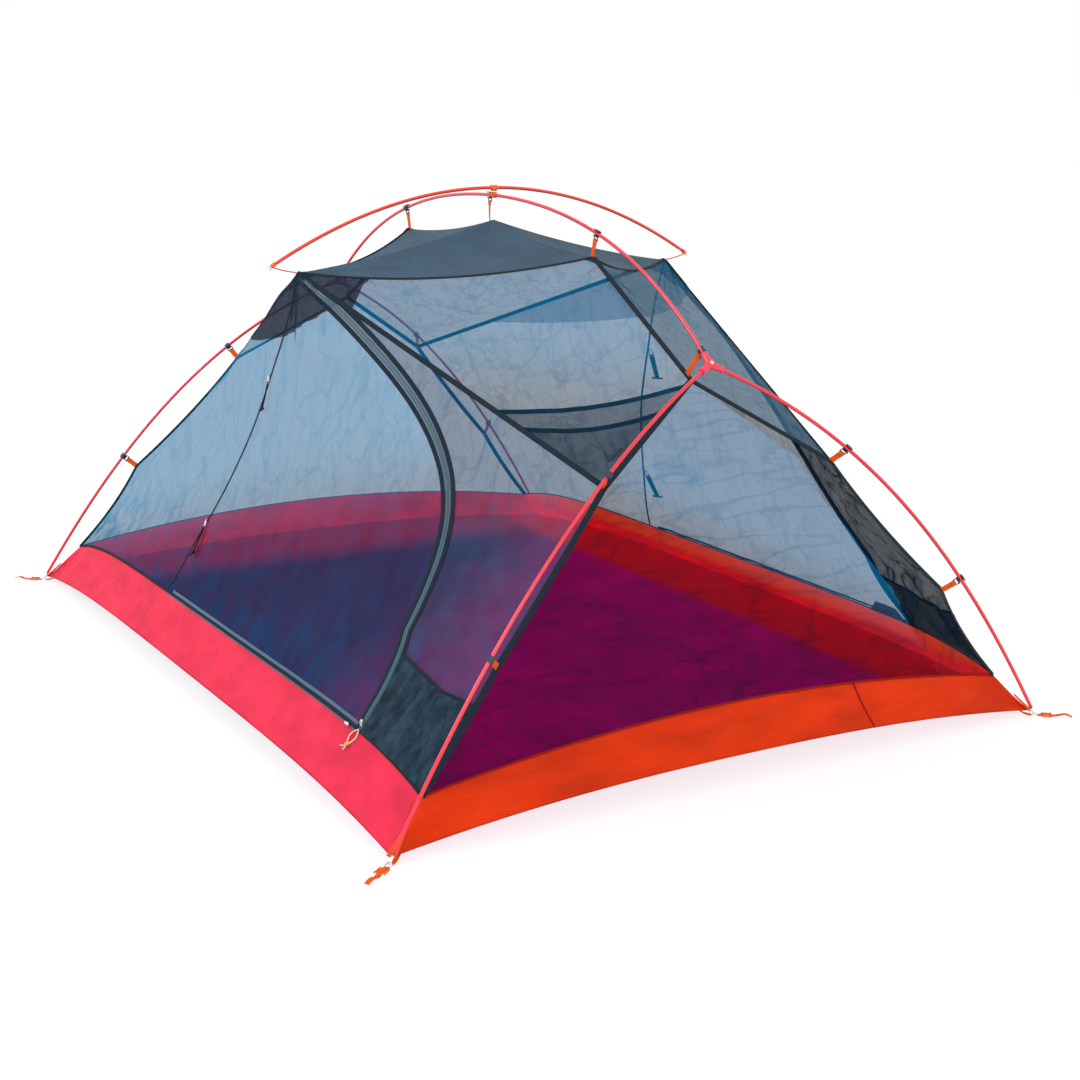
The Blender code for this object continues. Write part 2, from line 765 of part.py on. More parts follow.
def make_pulls():
    """A doubled cord that hangs from each upper slider and lies on the tub wall."""
    slope = Vector((0, TUB_Y - FOOT_Y, tub_rise(ZIP_X) - FOOT_Z - floor_lift_long(ZIP_X))).normalized()
    for side_name, side in SIDES:
        top = upper_slider_place(side) + Vector((0, -side * 0.0055, -0.0125))
        down = Vector((0, side * slope.y, -slope.z))
        route = [(0, 0), (-0.010, 0.008), (-0.015, 0.018), (-0.011, 0.029), (-0.004, 0.038), (-0.006, 0.050)]
        points = [top + Vector((x, 0, 0)) + down * drop for x, drop in route]
        name = f"{side_name}_zip_pull"
        tube(name, "cord_cream", points, CORD_RADIUS, origin=top)


def make_toggles():
    """Tie-backs for a rolled door: a strap hanging from the seam, with a bar across its foot."""
    for side_name, side in SIDES:
        for level, z in (("upper", 0.700), ("lower", 0.330)):
            length = 0.066
            top = wall_point(seam_x(z) + 0.006, z, side)
            foot = wall_point(seam_x(z) + 0.006, z - length, side)
            out = Vector((0, -side * 0.0058, 0))
            top, foot = top + out, foot + out
            down = (foot - top).normalized()
            normal = Vector((1, 0, 0)).cross(down).normalized()
            place = Matrix((Vector((1, 0, 0)), normal, -down)).transposed().to_4x4()
            place.translation = top
            strap = box((0.008, 0.0020, length), (0, 0, -length / 2))
            bmesh.ops.transform(strap, matrix=place, verts=strap.verts)
            name = f"{side_name}_toggle_{level}"
            made = add_object(name, mesh_from(strap, name), "clip_black", top)
            bar = rod(0.0024, place @ Vector((-0.010, 0, -length)), place @ Vector((0.010, 0, -length)), 8)
            combine(made, bar, "UNION")


def make_awning_cords():
    """The ball on each end of the cross pole, and the short cord from it to the awning corner."""
    for side_name, side in SIDES:
        tip = mirrored(cross_point(-CROSS_HALF), 1, side)
        way = Vector((0, -side, -2 * CROSS_BEND * CROSS_HALF)).normalized()
        centre = tip + way * 0.0058
        name = f"awning_cord_{side_name}"
        made = add_object(name, mesh_from(ball(0.0052, centre), name), "webbing_orange", (0, 0, CROSS_TOP))
        corner = mirrored(AWNING, 1, side) + Vector((0, -side * 0.006, 0.001))
        cord = rod(CORD_RADIUS, centre + Vector((0, 0, -0.0035)), corner, 8)
        change = made.modifiers.new("Cord", "BOOLEAN")
        change.operation = "UNION"
        change.object = cutter(cord, f"{name}_line")


clear_scene()
PARTS = new_collection("tent")
CUTTERS = new_collection("cutters")
make_floor()
make_tub()
make_walls()
make_doors()
make_end_meshes()
make_roof()
make_upper_meshes()
make_gear_pocket()
make_ridge_pole()
make_cross_pole()
make_legs()
make_hubs()
make_swivel()
make_clips()
make_corners()
make_sliders()
make_pulls()
make_toggles()
make_awning_cords()
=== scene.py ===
"""The look of the mesh tent on its pole frame: sheer stretched netting, ripstop tub, poles and fittings."""
import math

import bmesh
import bpy
import numpy as np
from mathutils import Matrix, Vector, noise


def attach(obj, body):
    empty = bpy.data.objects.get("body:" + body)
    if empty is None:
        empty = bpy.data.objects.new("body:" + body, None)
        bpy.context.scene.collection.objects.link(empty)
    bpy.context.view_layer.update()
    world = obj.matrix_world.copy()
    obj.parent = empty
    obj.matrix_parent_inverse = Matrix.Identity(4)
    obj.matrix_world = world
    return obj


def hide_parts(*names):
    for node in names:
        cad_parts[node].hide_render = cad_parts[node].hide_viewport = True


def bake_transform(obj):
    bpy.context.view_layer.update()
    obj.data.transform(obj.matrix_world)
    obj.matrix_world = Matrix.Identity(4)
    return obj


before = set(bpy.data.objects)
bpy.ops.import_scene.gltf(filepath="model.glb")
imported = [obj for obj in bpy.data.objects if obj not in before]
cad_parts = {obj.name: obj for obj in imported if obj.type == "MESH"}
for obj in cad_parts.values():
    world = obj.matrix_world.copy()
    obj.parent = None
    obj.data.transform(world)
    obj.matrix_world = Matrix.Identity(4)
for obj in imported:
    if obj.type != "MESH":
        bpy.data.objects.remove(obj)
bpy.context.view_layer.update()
SIDES = (("front", 1), ("back", -1))
ENDS = (("right", 1), ("left", -1))

# ---------------------------------------------------------------- camera, floor and light


CAMERA_TURN = (58.023, 14.306, 1.232)
CAMERA_LENS, CAMERA_FAR = 57.495, 4.1342
CAMERA_AIM = Vector((0.2429, 0, 0.3217))


def make_camera():
    """CAMERA_TURN is azimuth, elevation and roll in degrees. The camera stands CAMERA_FAR metres from its aim."""
    azimuth, elevation, roll = (math.radians(a) for a in CAMERA_TURN)
    level = math.cos(elevation)
    back = Vector((math.sin(azimuth) * level, -math.cos(azimuth) * level, math.sin(elevation)))
    right = (-back).cross(Vector((0, 0, 1))).normalized()
    up = right.cross(-back)
    turned = right * math.cos(roll) + up * math.sin(roll)
    tall = up * math.cos(roll) - right * math.sin(roll)
    data = bpy.data.cameras.new("camera")
    data.sensor_width = 36
    data.lens = CAMERA_LENS
    data.clip_end = 60
    camera = bpy.data.objects.new("camera", data)
    bpy.context.scene.collection.objects.link(camera)
    place = Matrix((turned, tall, back)).transposed().to_4x4()
    place.translation = CAMERA_AIM + back * CAMERA_FAR
    camera.matrix_world = place
    bpy.context.scene.camera = camera


def lamp(name, place, aim, size, power, colour=(1, 1, 1)):
    data = bpy.data.lights.new(name, "AREA")
    data.shape = "DISK"
    data.size = size
    data.energy = power
    data.color = colour
    made = bpy.data.objects.new(name, data)
    bpy.context.scene.collection.objects.link(made)
    made.location = place
    made.rotation_mode = "QUATERNION"
    made.rotation_quaternion = (Vector(aim) - Vector(place)).to_track_quat("-Z", "Y")


def make_light():
    scene = bpy.context.scene
    scene.view_settings.view_transform = "Standard"
    world = bpy.data.worlds.new("studio")
    world.use_nodes = True
    world.node_tree.nodes["Background"].inputs["Color"].default_value = (1, 1, 1, 1)
    world.node_tree.nodes["Background"].inputs["Strength"].default_value = 1.0
    scene.world = world
    lamp("key", (-1.5, -5.0, 4.5), (0, 0, 0.3), 2.5, 150)
    lamp("side", (5.0, -1.0, 2.6), (0.3, 0, 0.2), 2.5, 60)


# ---------------------------------------------------------------- materials


def new_material(name, colour, roughness, metallic=0.0, alpha=1.0, gloss=0.5, lit=0.0):
    """lit is the strength of a painted glow (emission) in the material's own colour: on the cloths it stands in for
    light that passes through them from behind.
    """
    made = bpy.data.materials.new(name)
    made.use_nodes = True
    shader = made.node_tree.nodes["Principled BSDF"]
    shader.inputs["Base Color"].default_value = (*colour, 1)
    shader.inputs["Roughness"].default_value = roughness
    shader.inputs["Metallic"].default_value = metallic
    shader.inputs["Alpha"].default_value = alpha
    shader.inputs["Specular IOR Level"].default_value = gloss
    if lit:
        shader.inputs["Emission Color"].default_value = (*colour, 1)
        shader.inputs["Emission Strength"].default_value = lit
    return made, made.node_tree, shader


def node(tree, kind, **settings):
    made = tree.nodes.new(kind)
    for key, value in settings.items():
        if key in made.inputs:
            made.inputs[key].default_value = value
        else:
            setattr(made, key, value)
    return made


def stretched(tree, scale, source="Object", turn=(0, 0, 0)):
    where = node(tree, "ShaderNodeTexCoord")
    mapping = node(tree, "ShaderNodeMapping", Rotation=turn, Scale=scale)
    tree.links.new(where.outputs[source], mapping.inputs["Vector"])
    return mapping.outputs["Vector"]


def cloudy(tree, scale, detail, roughness=0.5, distortion=0.0, source="Object", turn=(0, 0, 0)):
    """A stretched noise, about 0 to 1."""
    cloud = node(tree, "ShaderNodeTexNoise", Scale=1.0, Detail=detail, Roughness=roughness, Distortion=distortion)
    tree.links.new(stretched(tree, scale, source, turn), cloud.inputs["Vector"])
    return cloud.outputs["Fac"]


def banded(tree, scale, distortion=0.0):
    """Diagonal bands over the flat coordinates, 0 to 1."""
    wave = node(tree, "ShaderNodeTexWave", wave_type="BANDS", bands_direction="DIAGONAL", Scale=1.0)
    wave.inputs["Distortion"].default_value = distortion
    tree.links.new(stretched(tree, scale, "UV"), wave.inputs["Vector"])
    return wave.outputs["Fac"]


def value_of(tree, operation, *given):
    """The result of a math node, where each given value is a number or an output."""
    made = node(tree, "ShaderNodeMath", operation=operation)
    for socket, value in zip(made.inputs, given):
        if isinstance(value, float):
            socket.default_value = value
        else:
            tree.links.new(value, socket)
    return made.outputs[0]


def ramp_between(tree, value, low, high, dark, light):
    ramp = node(tree, "ShaderNodeValToRGB")
    ramp.color_ramp.elements[0].position = low
    ramp.color_ramp.elements[1].position = high
    ramp.color_ramp.elements[0].color = (*dark, 1)
    ramp.color_ramp.elements[1].color = (*light, 1)
    tree.links.new(value, ramp.inputs["Fac"])
    return ramp.outputs["Color"]


def shade(colour, factor):
    return tuple(min(1.0, c * factor) for c in colour)


def add_bump(tree, shader, height, distance, strength=1.0, before=None):
    bump = node(tree, "ShaderNodeBump")
    bump.inputs["Distance"].default_value = distance
    bump.inputs["Strength"].default_value = strength
    tree.links.new(height, bump.inputs["Height"])
    if before is not None:
        tree.links.new(before, bump.inputs["Normal"])
    tree.links.new(bump.outputs["Normal"], shader.inputs["Normal"])
    return bump.outputs["Normal"]


def times_add(tree, value, factor, add):
    return value_of(tree, "MULTIPLY_ADD", value, factor, add)


def creases(tree, scale, turn, width):
    """Thin wandering lines, 0 to 1, where a stretched noise passes its middle."""
    ramp = node(tree, "ShaderNodeValToRGB")
    ramp.color_ramp.elements[0].position = 0.5 - width
    ramp.color_ramp.elements[1].position = 0.5 + width
    ramp.color_ramp.elements[1].color = (0, 0, 0, 1)
    ramp.color_ramp.elements.new(0.5).color = (1, 1, 1, 1)
    tree.links.new(cloudy(tree, scale, 2.0, 0.5, 0.3, turn=turn), ramp.inputs["Fac"])
    return ramp.outputs["Color"]


def netting(
    name, colour, alpha, turn=(0.5, 0.6, 0.0), folds=0.07, streaks=0.10, low=0.0, contrast=0.2,
    above=None, rise=(0.30, 0.60), way=(0, 0, 1), grain=(12.0, 12.0, 2.2),
):
    """Sheer netting. It covers more along its thin creases and streaks, and by low in upright folds near the tub.

    Its colour turns to above between two heights along a way: painted light, the lighter colour standing in for more
    light on the upper part.
    """
    made, tree, shader = new_material(name, colour, 0.8, alpha=alpha, gloss=0.0)
    cloud = cloudy(tree, (18, 18, 2.4), 4.0, 0.6)
    mixed = ramp_between(tree, cloud, 0.3, 0.7, shade(colour, 1 - contrast), shade(colour, 1 + contrast))
    if above:
        mixed = blended(tree, mixed, above, ramp_along(tree, way, *rise))
    tree.links.new(mixed, shader.inputs["Base Color"])
    cover = times_add(tree, creases(tree, grain, turn, 0.035), folds, alpha - streaks / 2)
    finer = creases(tree, tuple(0.8 * g for g in grain), (-turn[0], -turn[1], 0.3), 0.02)
    cover = times_add(tree, finer, folds * 0.7, cover)
    cover = times_add(tree, cloud, streaks, cover)
    if low:
        near = times_add(tree, ramp_along(tree, (0, 0, -1), -0.42, -0.13), low, 0.0)
        dark = ramp_between(tree, cloudy(tree, (34, 34, 3.0), 3.0, 0.6), 0.42, 0.62, (0, 0, 0), (1, 1, 1))
        cover = times_add(tree, near, dark, cover)
    tree.links.new(cover, shader.inputs["Alpha"])
    return made


THREADS = 150


def ripstop(name, colour, roughness=0.5, crinkle=(9, 9, 22), contrast=0.14, gloss=0.08, lit=0.0, paint=None):
    """Coated ripstop nylon: a fine square grid, soft crinkles and a light sheen."""
    made, tree, shader = new_material(name, colour, roughness, gloss=gloss, lit=lit)
    cloud = cloudy(tree, crinkle, 3.0)
    base = ramp_between(tree, cloud, 0.32, 0.68, shade(colour, 1 - contrast), shade(colour, 1 + contrast))
    if paint:
        base = paint(tree, base)
    threads = [value_of(tree, "POWER", banded(tree, axis), 14.0) for axis in ((THREADS, 0, 0), (0, THREADS, 0))]
    lines = value_of(tree, "MAXIMUM", *threads)
    mix = node(tree, "ShaderNodeMix", data_type="RGBA", blend_type="MULTIPLY")
    tree.links.new(value_of(tree, "MULTIPLY", lines, 0.22), mix.inputs["Factor"])
    tree.links.new(base, mix.inputs[6])
    mix.inputs[7].default_value = (0.35, 0.35, 0.35, 1)
    tree.links.new(mix.outputs[2], shader.inputs["Base Color"])
    crease = cloudy(tree, tuple(2.2 * c for c in crinkle), 5.0, 0.55, 0.6)
    first = add_bump(tree, shader, crease, 0.012, 0.55)
    add_bump(tree, shader, lines, 0.0005, 0.4, first)
    # The painted glow takes the cloth's patterned colour.
    if lit:
        tree.links.new(mix.outputs[2], shader.inputs["Emission Color"])
    return made


def webbing(name, colour, roughness=0.8, ribs=420):
    """Woven tape: ribs across its length and a herringbone of paler threads."""
    made, tree, shader = new_material(name, colour, roughness, gloss=0.15)
    wave = banded(tree, (ribs, ribs, 0), 0.4)
    mixed = ramp_between(tree, wave, 0.2, 0.8, shade(colour, 0.72), shade(colour, 1.15))
    tree.links.new(mixed, shader.inputs["Base Color"])
    add_bump(tree, shader, wave, 0.0005, 0.8)
    return made


def moulded(name, colour, roughness):
    """Moulded plastic with a faint grain."""
    made, tree, shader = new_material(name, colour, roughness)
    speck = node(tree, "ShaderNodeTexNoise", Scale=900, Detail=2.0)
    tree.links.new(stretched(tree, (1, 1, 1)), speck.inputs["Vector"])
    mixed = ramp_between(tree, speck.outputs["Fac"], 0.35, 0.65, shade(colour, 0.85), shade(colour, 1.15))
    tree.links.new(mixed, shader.inputs["Base Color"])
    add_bump(tree, shader, speck.outputs["Fac"], 0.0002, 0.4)
    return made


def anodised(name, colour, roughness=0.28, metallic=0.55):
    """Anodised tube: fine drawn lines along its length."""
    made, tree, shader = new_material(name, colour, roughness, metallic)
    lines = cloudy(tree, (6, 700, 1), 3.0, source="UV")
    mixed = ramp_between(tree, lines, 0.3, 0.7, shade(colour, 0.88), shade(colour, 1.12))
    tree.links.new(mixed, shader.inputs["Base Color"])
    rough = node(tree, "ShaderNodeMapRange")
    rough.inputs["To Min"].default_value = roughness * 0.8
    rough.inputs["To Max"].default_value = roughness * 1.3
    tree.links.new(lines, rough.inputs["Value"])
    tree.links.new(rough.outputs["Result"], shader.inputs["Roughness"])
    shader.inputs["Coat Weight"].default_value = 0.5
    shader.inputs["Coat Roughness"].default_value = 0.12
    return made


def blended(tree, base, over, factor):
    mix = node(tree, "ShaderNodeMix", data_type="RGBA")
    tree.links.new(factor, mix.inputs["Factor"])
    tree.links.new(base, mix.inputs[6])
    mix.inputs[7].default_value = (*over, 1)
    return mix.outputs[2]


def ramp_along(tree, way, low, high, jitter=0.0):
    """0 to 1 along a direction of the object, from low to high metres, its edge made uneven by jitter metres."""
    where = node(tree, "ShaderNodeTexCoord")
    dot = node(tree, "ShaderNodeVectorMath", operation="DOT_PRODUCT")
    dot.inputs[1].default_value = way
    tree.links.new(where.outputs["Object"], dot.inputs[0])
    value = dot.outputs["Value"]
    if jitter:
        cloud = node(tree, "ShaderNodeTexNoise", Scale=4.0, Detail=3.0)
        tree.links.new(where.outputs["Object"], cloud.inputs["Vector"])
        value = times_add(tree, cloud.outputs["Fac"], jitter * 2, value)
    fade = node(tree, "ShaderNodeMapRange", interpolation_type="SMOOTHSTEP")
    fade.inputs["From Min"].default_value = low + jitter
    fade.inputs["From Max"].default_value = high + jitter
    tree.links.new(value, fade.inputs["Value"])
    return fade.outputs["Result"]


def paint_floor_shade_and_red(tree, base):
    """The floor is coloured darker towards the front left, a painted shade, and the tub's red runs onto it at the back
    and the left.
    """
    # painted shade: darker towards the front left
    base = blended(tree, base, (0.075, 0.004, 0.034), ramp_along(tree, (-0.72, -0.69, 0), -0.08, 0.36, 0.08))
    base = blended(tree, base, (0.34, 0.004, 0.030), ramp_along(tree, (-1, 0, 0), 0.86, 1.0, 0.03))
    return blended(tree, base, (0.50, 0.006, 0.004), ramp_along(tree, (0, 1, 0), 0.66, 0.71))


def paint_back(tree, base):
    """The upper half of the back tub is brighter, as more light comes through it."""
    return blended(tree, base, (0.90, 0.070, 0.004), ramp_along(tree, (0, 0, 1), 0.075, 0.12, 0.015))


M = {
    # The nets are one fabric. The front net turns lighter and bluer towards its top: painted light.
    "net": netting(
        "net", (0.002, 0.045, 0.120), 0.50, low=0.25,
        above=(0.002, 0.185, 0.360), rise=(0.31, 0.56), way=(-0.30, 0, 1),
    ),
    # A lighter copy of the net for the far walls: painted light, for light through them from behind.
    "net_far_lit": netting("net_far_lit", (0.002, 0.300, 0.600), 0.48),
    # A near-black copy of the net for the right end: painted shade, lighter towards its top as painted light.
    "net_end_shaded": netting(
        "net_end_shaded", (0.001, 0.004, 0.016), 0.57, (0.9, 0.3, 0.0), 0.10, 0.12, 0.06,
        above=(0.001, 0.120, 0.260), rise=(0.42, 0.57), way=(0, 0.5, 1), grain=(3.5, 3.5, 17.0),
    ),
    "net_end_edge": netting("net_end_edge", (0.003, 0.012, 0.024), 0.58, (0.9, 0.3, 0.0), 0.12, 0.20),
    "net_side": netting("net_side", (0.006, 0.060, 0.130), 0.58, (0.2, 0.9, 0.0), 0.08, 0.14, 0.20),
    "net_side_far": netting("net_side_far", (0.006, 0.022, 0.042), 0.82, (0.2, 0.9, 0.0), 0.14, 0.30),
    # The upper net turns lighter towards its top: painted light.
    "net_upper": netting(
        "net_upper", (0.004, 0.030, 0.060), 0.52, (0.7, 0.1, 0.6), 0.09,
        above=(0.003, 0.125, 0.260), rise=(0.72, 0.86),
    ),
    "net_upper_far": netting("net_upper_far", (0.040, 0.110, 0.175), 0.73, (0.7, 0.1, 0.6), 0.08),
    "net_pocket": netting("net_pocket", (0.010, 0.018, 0.030), 0.72, folds=0.12, streaks=0.20),
    # A lighter copy of the patch for the far side: painted light, for light through it from behind.
    "patch_far_lit": netting("patch_far_lit", (0.004, 0.090, 0.180), 0.50, folds=0.03, streaks=0.06),
    "patch": netting("patch", (0.014, 0.022, 0.040), 0.84, folds=0.03, streaks=0.06),
    "burgundy": ripstop("burgundy", (0.10, 0.004, 0.045), 0.6, (20, 20, 20), 0.2),
    "stuff": ripstop("stuff", (0.014, 0.034, 0.056), 0.6, (45, 45, 2.5), 0.55),
    "roof": ripstop("roof", (0.042, 0.082, 0.125), 0.6, (5, 9, 9), 0.15),
    "tub_front": ripstop("tub_front", (0.72, 0.025, 0.068), 0.5, (10, 10, 20), 0.14),
    "tub_end": ripstop("tub_end", (0.60, 0.029, 0.001), 0.5, (10, 6, 20), 0.17),
    "tub_back": ripstop("tub_back", (0.62, 0.028, 0.012), 0.5, (5, 10, 20), 0.25),
    # The linings glow with painted light, for the light through the tub walls; the back one is also painted brighter
    # on its upper half.
    "lining_back": ripstop(
        "lining_back", (0.80, 0.010, 0.004), 0.5, (6, 10, 20), 0.25, lit=0.8, gloss=0.0, paint=paint_back,
    ),
    "lining_left": ripstop("lining_left", (0.80, 0.006, 0.02), 0.5, (10, 8, 20), 0.2, gloss=0.0, lit=0.4),
    "tape": webbing("tape", (0.010, 0.022, 0.036), 0.75, 500),
    "coil": webbing("coil", (0.105, 0.185, 0.260), 0.5, 1400),
    "hem": webbing("hem", (0.30, 0.008, 0.006), 0.7, 500),
    "crease": webbing("crease", (0.24, 0.03, 0.13), 0.7, 300),
    "orange": webbing("orange", (0.84, 0.115, 0.006), 0.7),
    "black_web": webbing("black_web", (0.012, 0.020, 0.032), 0.75),
    "pole": anodised("pole", (0.80, 0.028, 0.05)),
    "pole_cross": anodised("pole_cross", (0.85, 0.05, 0.02)),
    "hub": moulded("hub", (0.78, 0.035, 0.07), 0.35),
    "clip": moulded("clip", (0.018, 0.028, 0.042), 0.4),
    "connector": moulded("connector", (0.85, 0.12, 0.006), 0.45),
    "silver": anodised("silver", (0.75, 0.77, 0.80), 0.25, 0.95),
    "cream": webbing("cream", (0.86, 0.83, 0.58), 0.8, 900),
    "yellow": webbing("yellow", (0.93, 0.55, 0.08), 0.8, 900),
    # The floor cloth glows with painted light, and is painted darker towards its front left as shade.
    "floor": ripstop(
        "floor_cloth", (0.36, 0.001, 0.125), 0.5, (5, 5, 5), 0.20, gloss=0.0, lit=0.5, paint=paint_floor_shade_and_red,
    ),
}

# ---------------------------------------------------------------- the canopy's surfaces, as in the CAD part

FOOT_X, FOOT_Y, FOOT_Z = 1.066, 0.816, 0.012
FLOOR_LIFT_LONG, FLOOR_LIFT_END, FLOOR_FLAT = 0.042, 0.048, 0.75
TUB_X, TUB_Y, TUB_CORNER_Z = 1.026, 0.732, 0.099
TUB_RISE_LONG, TUB_RISE_END = 0.050, 0.062
APEX_Z = 1.062
RIDGE_END = Vector((0.439, 0.0, 1.009))
AWNING = Vector((0.0, -0.511, 0.951))
HUB_CORNER = Vector((0.816, 0.0, 0.790))
UPPER_CLIP = Vector((0.9345, -0.287, 0.618))
LOWER_CLIP = Vector((1.0096, -0.566, 0.3174))
DOOR_SEAM_X = -0.326
ZIP_X = 0.765
EDGE_DRAW = 0.012
FOOT_DRAW = 0.15


def tub_rise(x):
    return TUB_CORNER_Z + TUB_RISE_LONG * (1 - min(1, abs(x / TUB_X)) ** 6)


def floor_lift_long(x):
    return FLOOR_LIFT_LONG * (1 - min(1, abs(x / FOOT_X)) ** 4)


def floor_lift_end(y):
    return FLOOR_LIFT_END * (1 - min(1, abs(y / FOOT_Y)) ** 2.4)


def floor_point(x, y):
    across = max(0, (abs(y / FOOT_Y) - FLOOR_FLAT) / (1 - FLOOR_FLAT)) ** 2
    along = max(0, (abs(x / FOOT_X) - FLOOR_FLAT) / (1 - FLOOR_FLAT)) ** 2
    lift = across * floor_lift_long(x) + along * floor_lift_end(y) + FOOT_Z * max(across, along)
    return Vector((x, y, lift + 0.0012))


def along_legs(z):
    """(x, y) of the canopy's edge beside a leg pole, pulled in a little between its anchors."""
    stops = (Vector((TUB_X, -TUB_Y, TUB_CORNER_Z)), LOWER_CLIP, UPPER_CLIP, AWNING)
    z = min(max(z, stops[0].z), stops[-1].z)
    for low, high in zip(stops, stops[1:]):
        if z <= high.z:
            share = (z - low.z) / (high.z - low.z)
            here = low.lerp(high, share)
            draw = EDGE_DRAW * 4 * share * (1 - share) if high is not AWNING else 0
            return here.x - draw * 0.6, here.y + draw * 0.8
    return AWNING.x, AWNING.y


def wall_middle(z):
    foot_z = tub_rise(0)
    share = min(max((z - foot_z) / (AWNING.z - foot_z), 0), 1)
    return -TUB_Y + (AWNING.y + TUB_Y) * share + 0.045 * math.sin(math.pi * share)


def wall_depth(x, z):
    """y of the front wall at its lie between the legs, before its foot is drawn out to the tub."""
    edge_x, edge_y = along_legs(z)
    middle = wall_middle(z)
    share = min(1, abs(x) / edge_x) if edge_x > 1e-6 else 0
    return middle + (edge_y - middle) * share**2


def wall_point(x, z, side):
    foot_z = tub_rise(x)
    fade = max(0, 1 - max(0, z - foot_z) / FOOT_DRAW) ** 2
    return Vector((x, side * (wall_depth(x, z) - (TUB_Y + wall_depth(x, foot_z)) * fade), z))


def wall_normal(x, z, side):
    step = 0.004
    along = wall_point(x + step, z, side) - wall_point(x - step, z, side)
    rise = wall_point(x, z + step, side) - wall_point(x, z - step, side)
    out = along.cross(rise)
    return (out if out.y * side < 0 else -out).normalized()


def seam_x(z):
    foot_z = tub_rise(DOOR_SEAM_X)
    return DOOR_SEAM_X * (AWNING.z - z) / (AWNING.z - foot_z)


def zip_xz(share):
    low, high = 1 - share, share
    points = ((ZIP_X, tub_rise(ZIP_X)), (0.68, 0.58), (0.67, 0.66), (AWNING.x, AWNING.z))
    weights = (low**3, 3 * low**2 * high, 3 * low * high**2, high**3)
    return tuple(sum(w * p[i] for w, p in zip(weights, points)) for i in (0, 1))


def zip_x(z):
    low, high = 0.0, 1.0
    for _ in range(30):
        half = (low + high) / 2
        if zip_xz(half)[1] < z:
            low = half
        else:
            high = half
    return zip_xz(low)[0]


def roof_edge(share):
    here = RIDGE_END.lerp(AWNING, share)
    here.z -= 4 * 0.028 * share * (1 - share)
    return here


def end_edge(z):
    if z <= UPPER_CLIP.z:
        return along_legs(z)
    here = UPPER_CLIP.lerp(HUB_CORNER, min(1, (z - UPPER_CLIP.z) / (HUB_CORNER.z - UPPER_CLIP.z)))
    return here.x, here.y


def end_point(y, z, end):
    foot = TUB_CORNER_Z + TUB_RISE_END
    share = min(max((z - foot) / (HUB_CORNER.z - foot), 0), 1)
    middle = TUB_X + (HUB_CORNER.x - TUB_X) * share - 0.020 * math.sin(math.pi * share)
    edge_x, edge_y = end_edge(z)
    part = min(1, abs(y / edge_y)) if abs(edge_y) > 1e-6 else 0
    return Vector((end * (middle + (edge_x - middle) * part**2), y, z))


def mirrored(point, end=1, side=1):
    return Vector((end * point[0], side * point[1], point[2]))


def steps(count, low=0.0, high=1.0):
    return [low + (high - low) * i / count for i in range(count + 1)]


def fan(point, anchor, first, second, count, reach, size, seed=0.0):
    """Height of the folds that fan out from an anchor, at a point; first and second span the cloth."""
    away = point - anchor
    far = away.length
    if far > 2.6 * reach:
        return 0.0
    angle = math.atan2(away.dot(second), away.dot(first))
    wave = noise.noise(Vector((angle * count, far * 4, seed))) * 2
    return size * wave * far / (far + 0.04) * math.exp(-((far / reach) ** 2))


# ---------------------------------------------------------------- building meshes


def grid(rows, flat):
    """Points, faces and flat coordinates of a sheet given as rows of points."""
    rows = [list(row) for row in rows]
    wide = len(rows[0])
    points = [p for row in rows for p in row]
    faces = []
    for j in range(len(rows) - 1):
        for i in range(wide - 1):
            a = j * wide + i
            faces.append((a, a + 1, a + wide + 1, a + wide))
    return [tuple(p) for p in points], faces, [flat(p) for p in points]


def sweep(points, width, height=None, up=(0, 0, 1), sides=8, square=1.0):
    """A tube or flat tape along the points. up is the tape's outward direction, one or one for each point."""
    line = np.array([tuple(p) for p in points], float)
    count = len(line)
    way = np.gradient(line, axis=0)
    way /= np.linalg.norm(way, axis=1)[:, None]
    each = hasattr(up[0], "__len__")
    ups = np.array([tuple(u) for u in up], float) if each else np.tile(np.array(up, float), (count, 1))
    side = np.cross(way, ups)
    side /= np.maximum(np.linalg.norm(side, axis=1), 1e-9)[:, None]
    out = np.cross(side, way)
    wide = np.broadcast_to(np.array(width, float), (count,))
    tall = np.broadcast_to(np.array(width if height is None else height, float), (count,))
    angle = np.linspace(0, 2 * math.pi, sides, endpoint=False) + math.pi / sides
    across = np.sign(np.cos(angle)) * np.abs(np.cos(angle)) ** square
    above = np.sign(np.sin(angle)) * np.abs(np.sin(angle)) ** square
    ring = line[:, None] + side[:, None] * (across[None, :] * wide[:, None] / 2)[..., None]
    ring = ring + out[:, None] * (above[None, :] * tall[:, None] / 2)[..., None]
    run = np.concatenate([[0], np.cumsum(np.linalg.norm(np.diff(line, axis=0), axis=1))])
    faces = []
    for j in range(count - 1):
        for i in range(sides):
            k = (i + 1) % sides
            faces.append((j * sides + i, j * sides + k, (j + 1) * sides + k, (j + 1) * sides + i))
    faces.append(tuple(range(sides))[::-1])
    faces.append(tuple((count - 1) * sides + i for i in range(sides)))
    flat = [(run[j], across[i] * wide[j] / 2) for j in range(count) for i in range(sides)]
    return [tuple(p) for p in ring.reshape(-1, 3)], faces, flat


def tape(points, width, height, out, lift=0.0, square=0.6):
    """A flat sewn tape along the points, lifted off them along its outward direction."""
    line = [p + out * lift for p in points] if lift else points
    return sweep(line, width, height, out, 8, square)


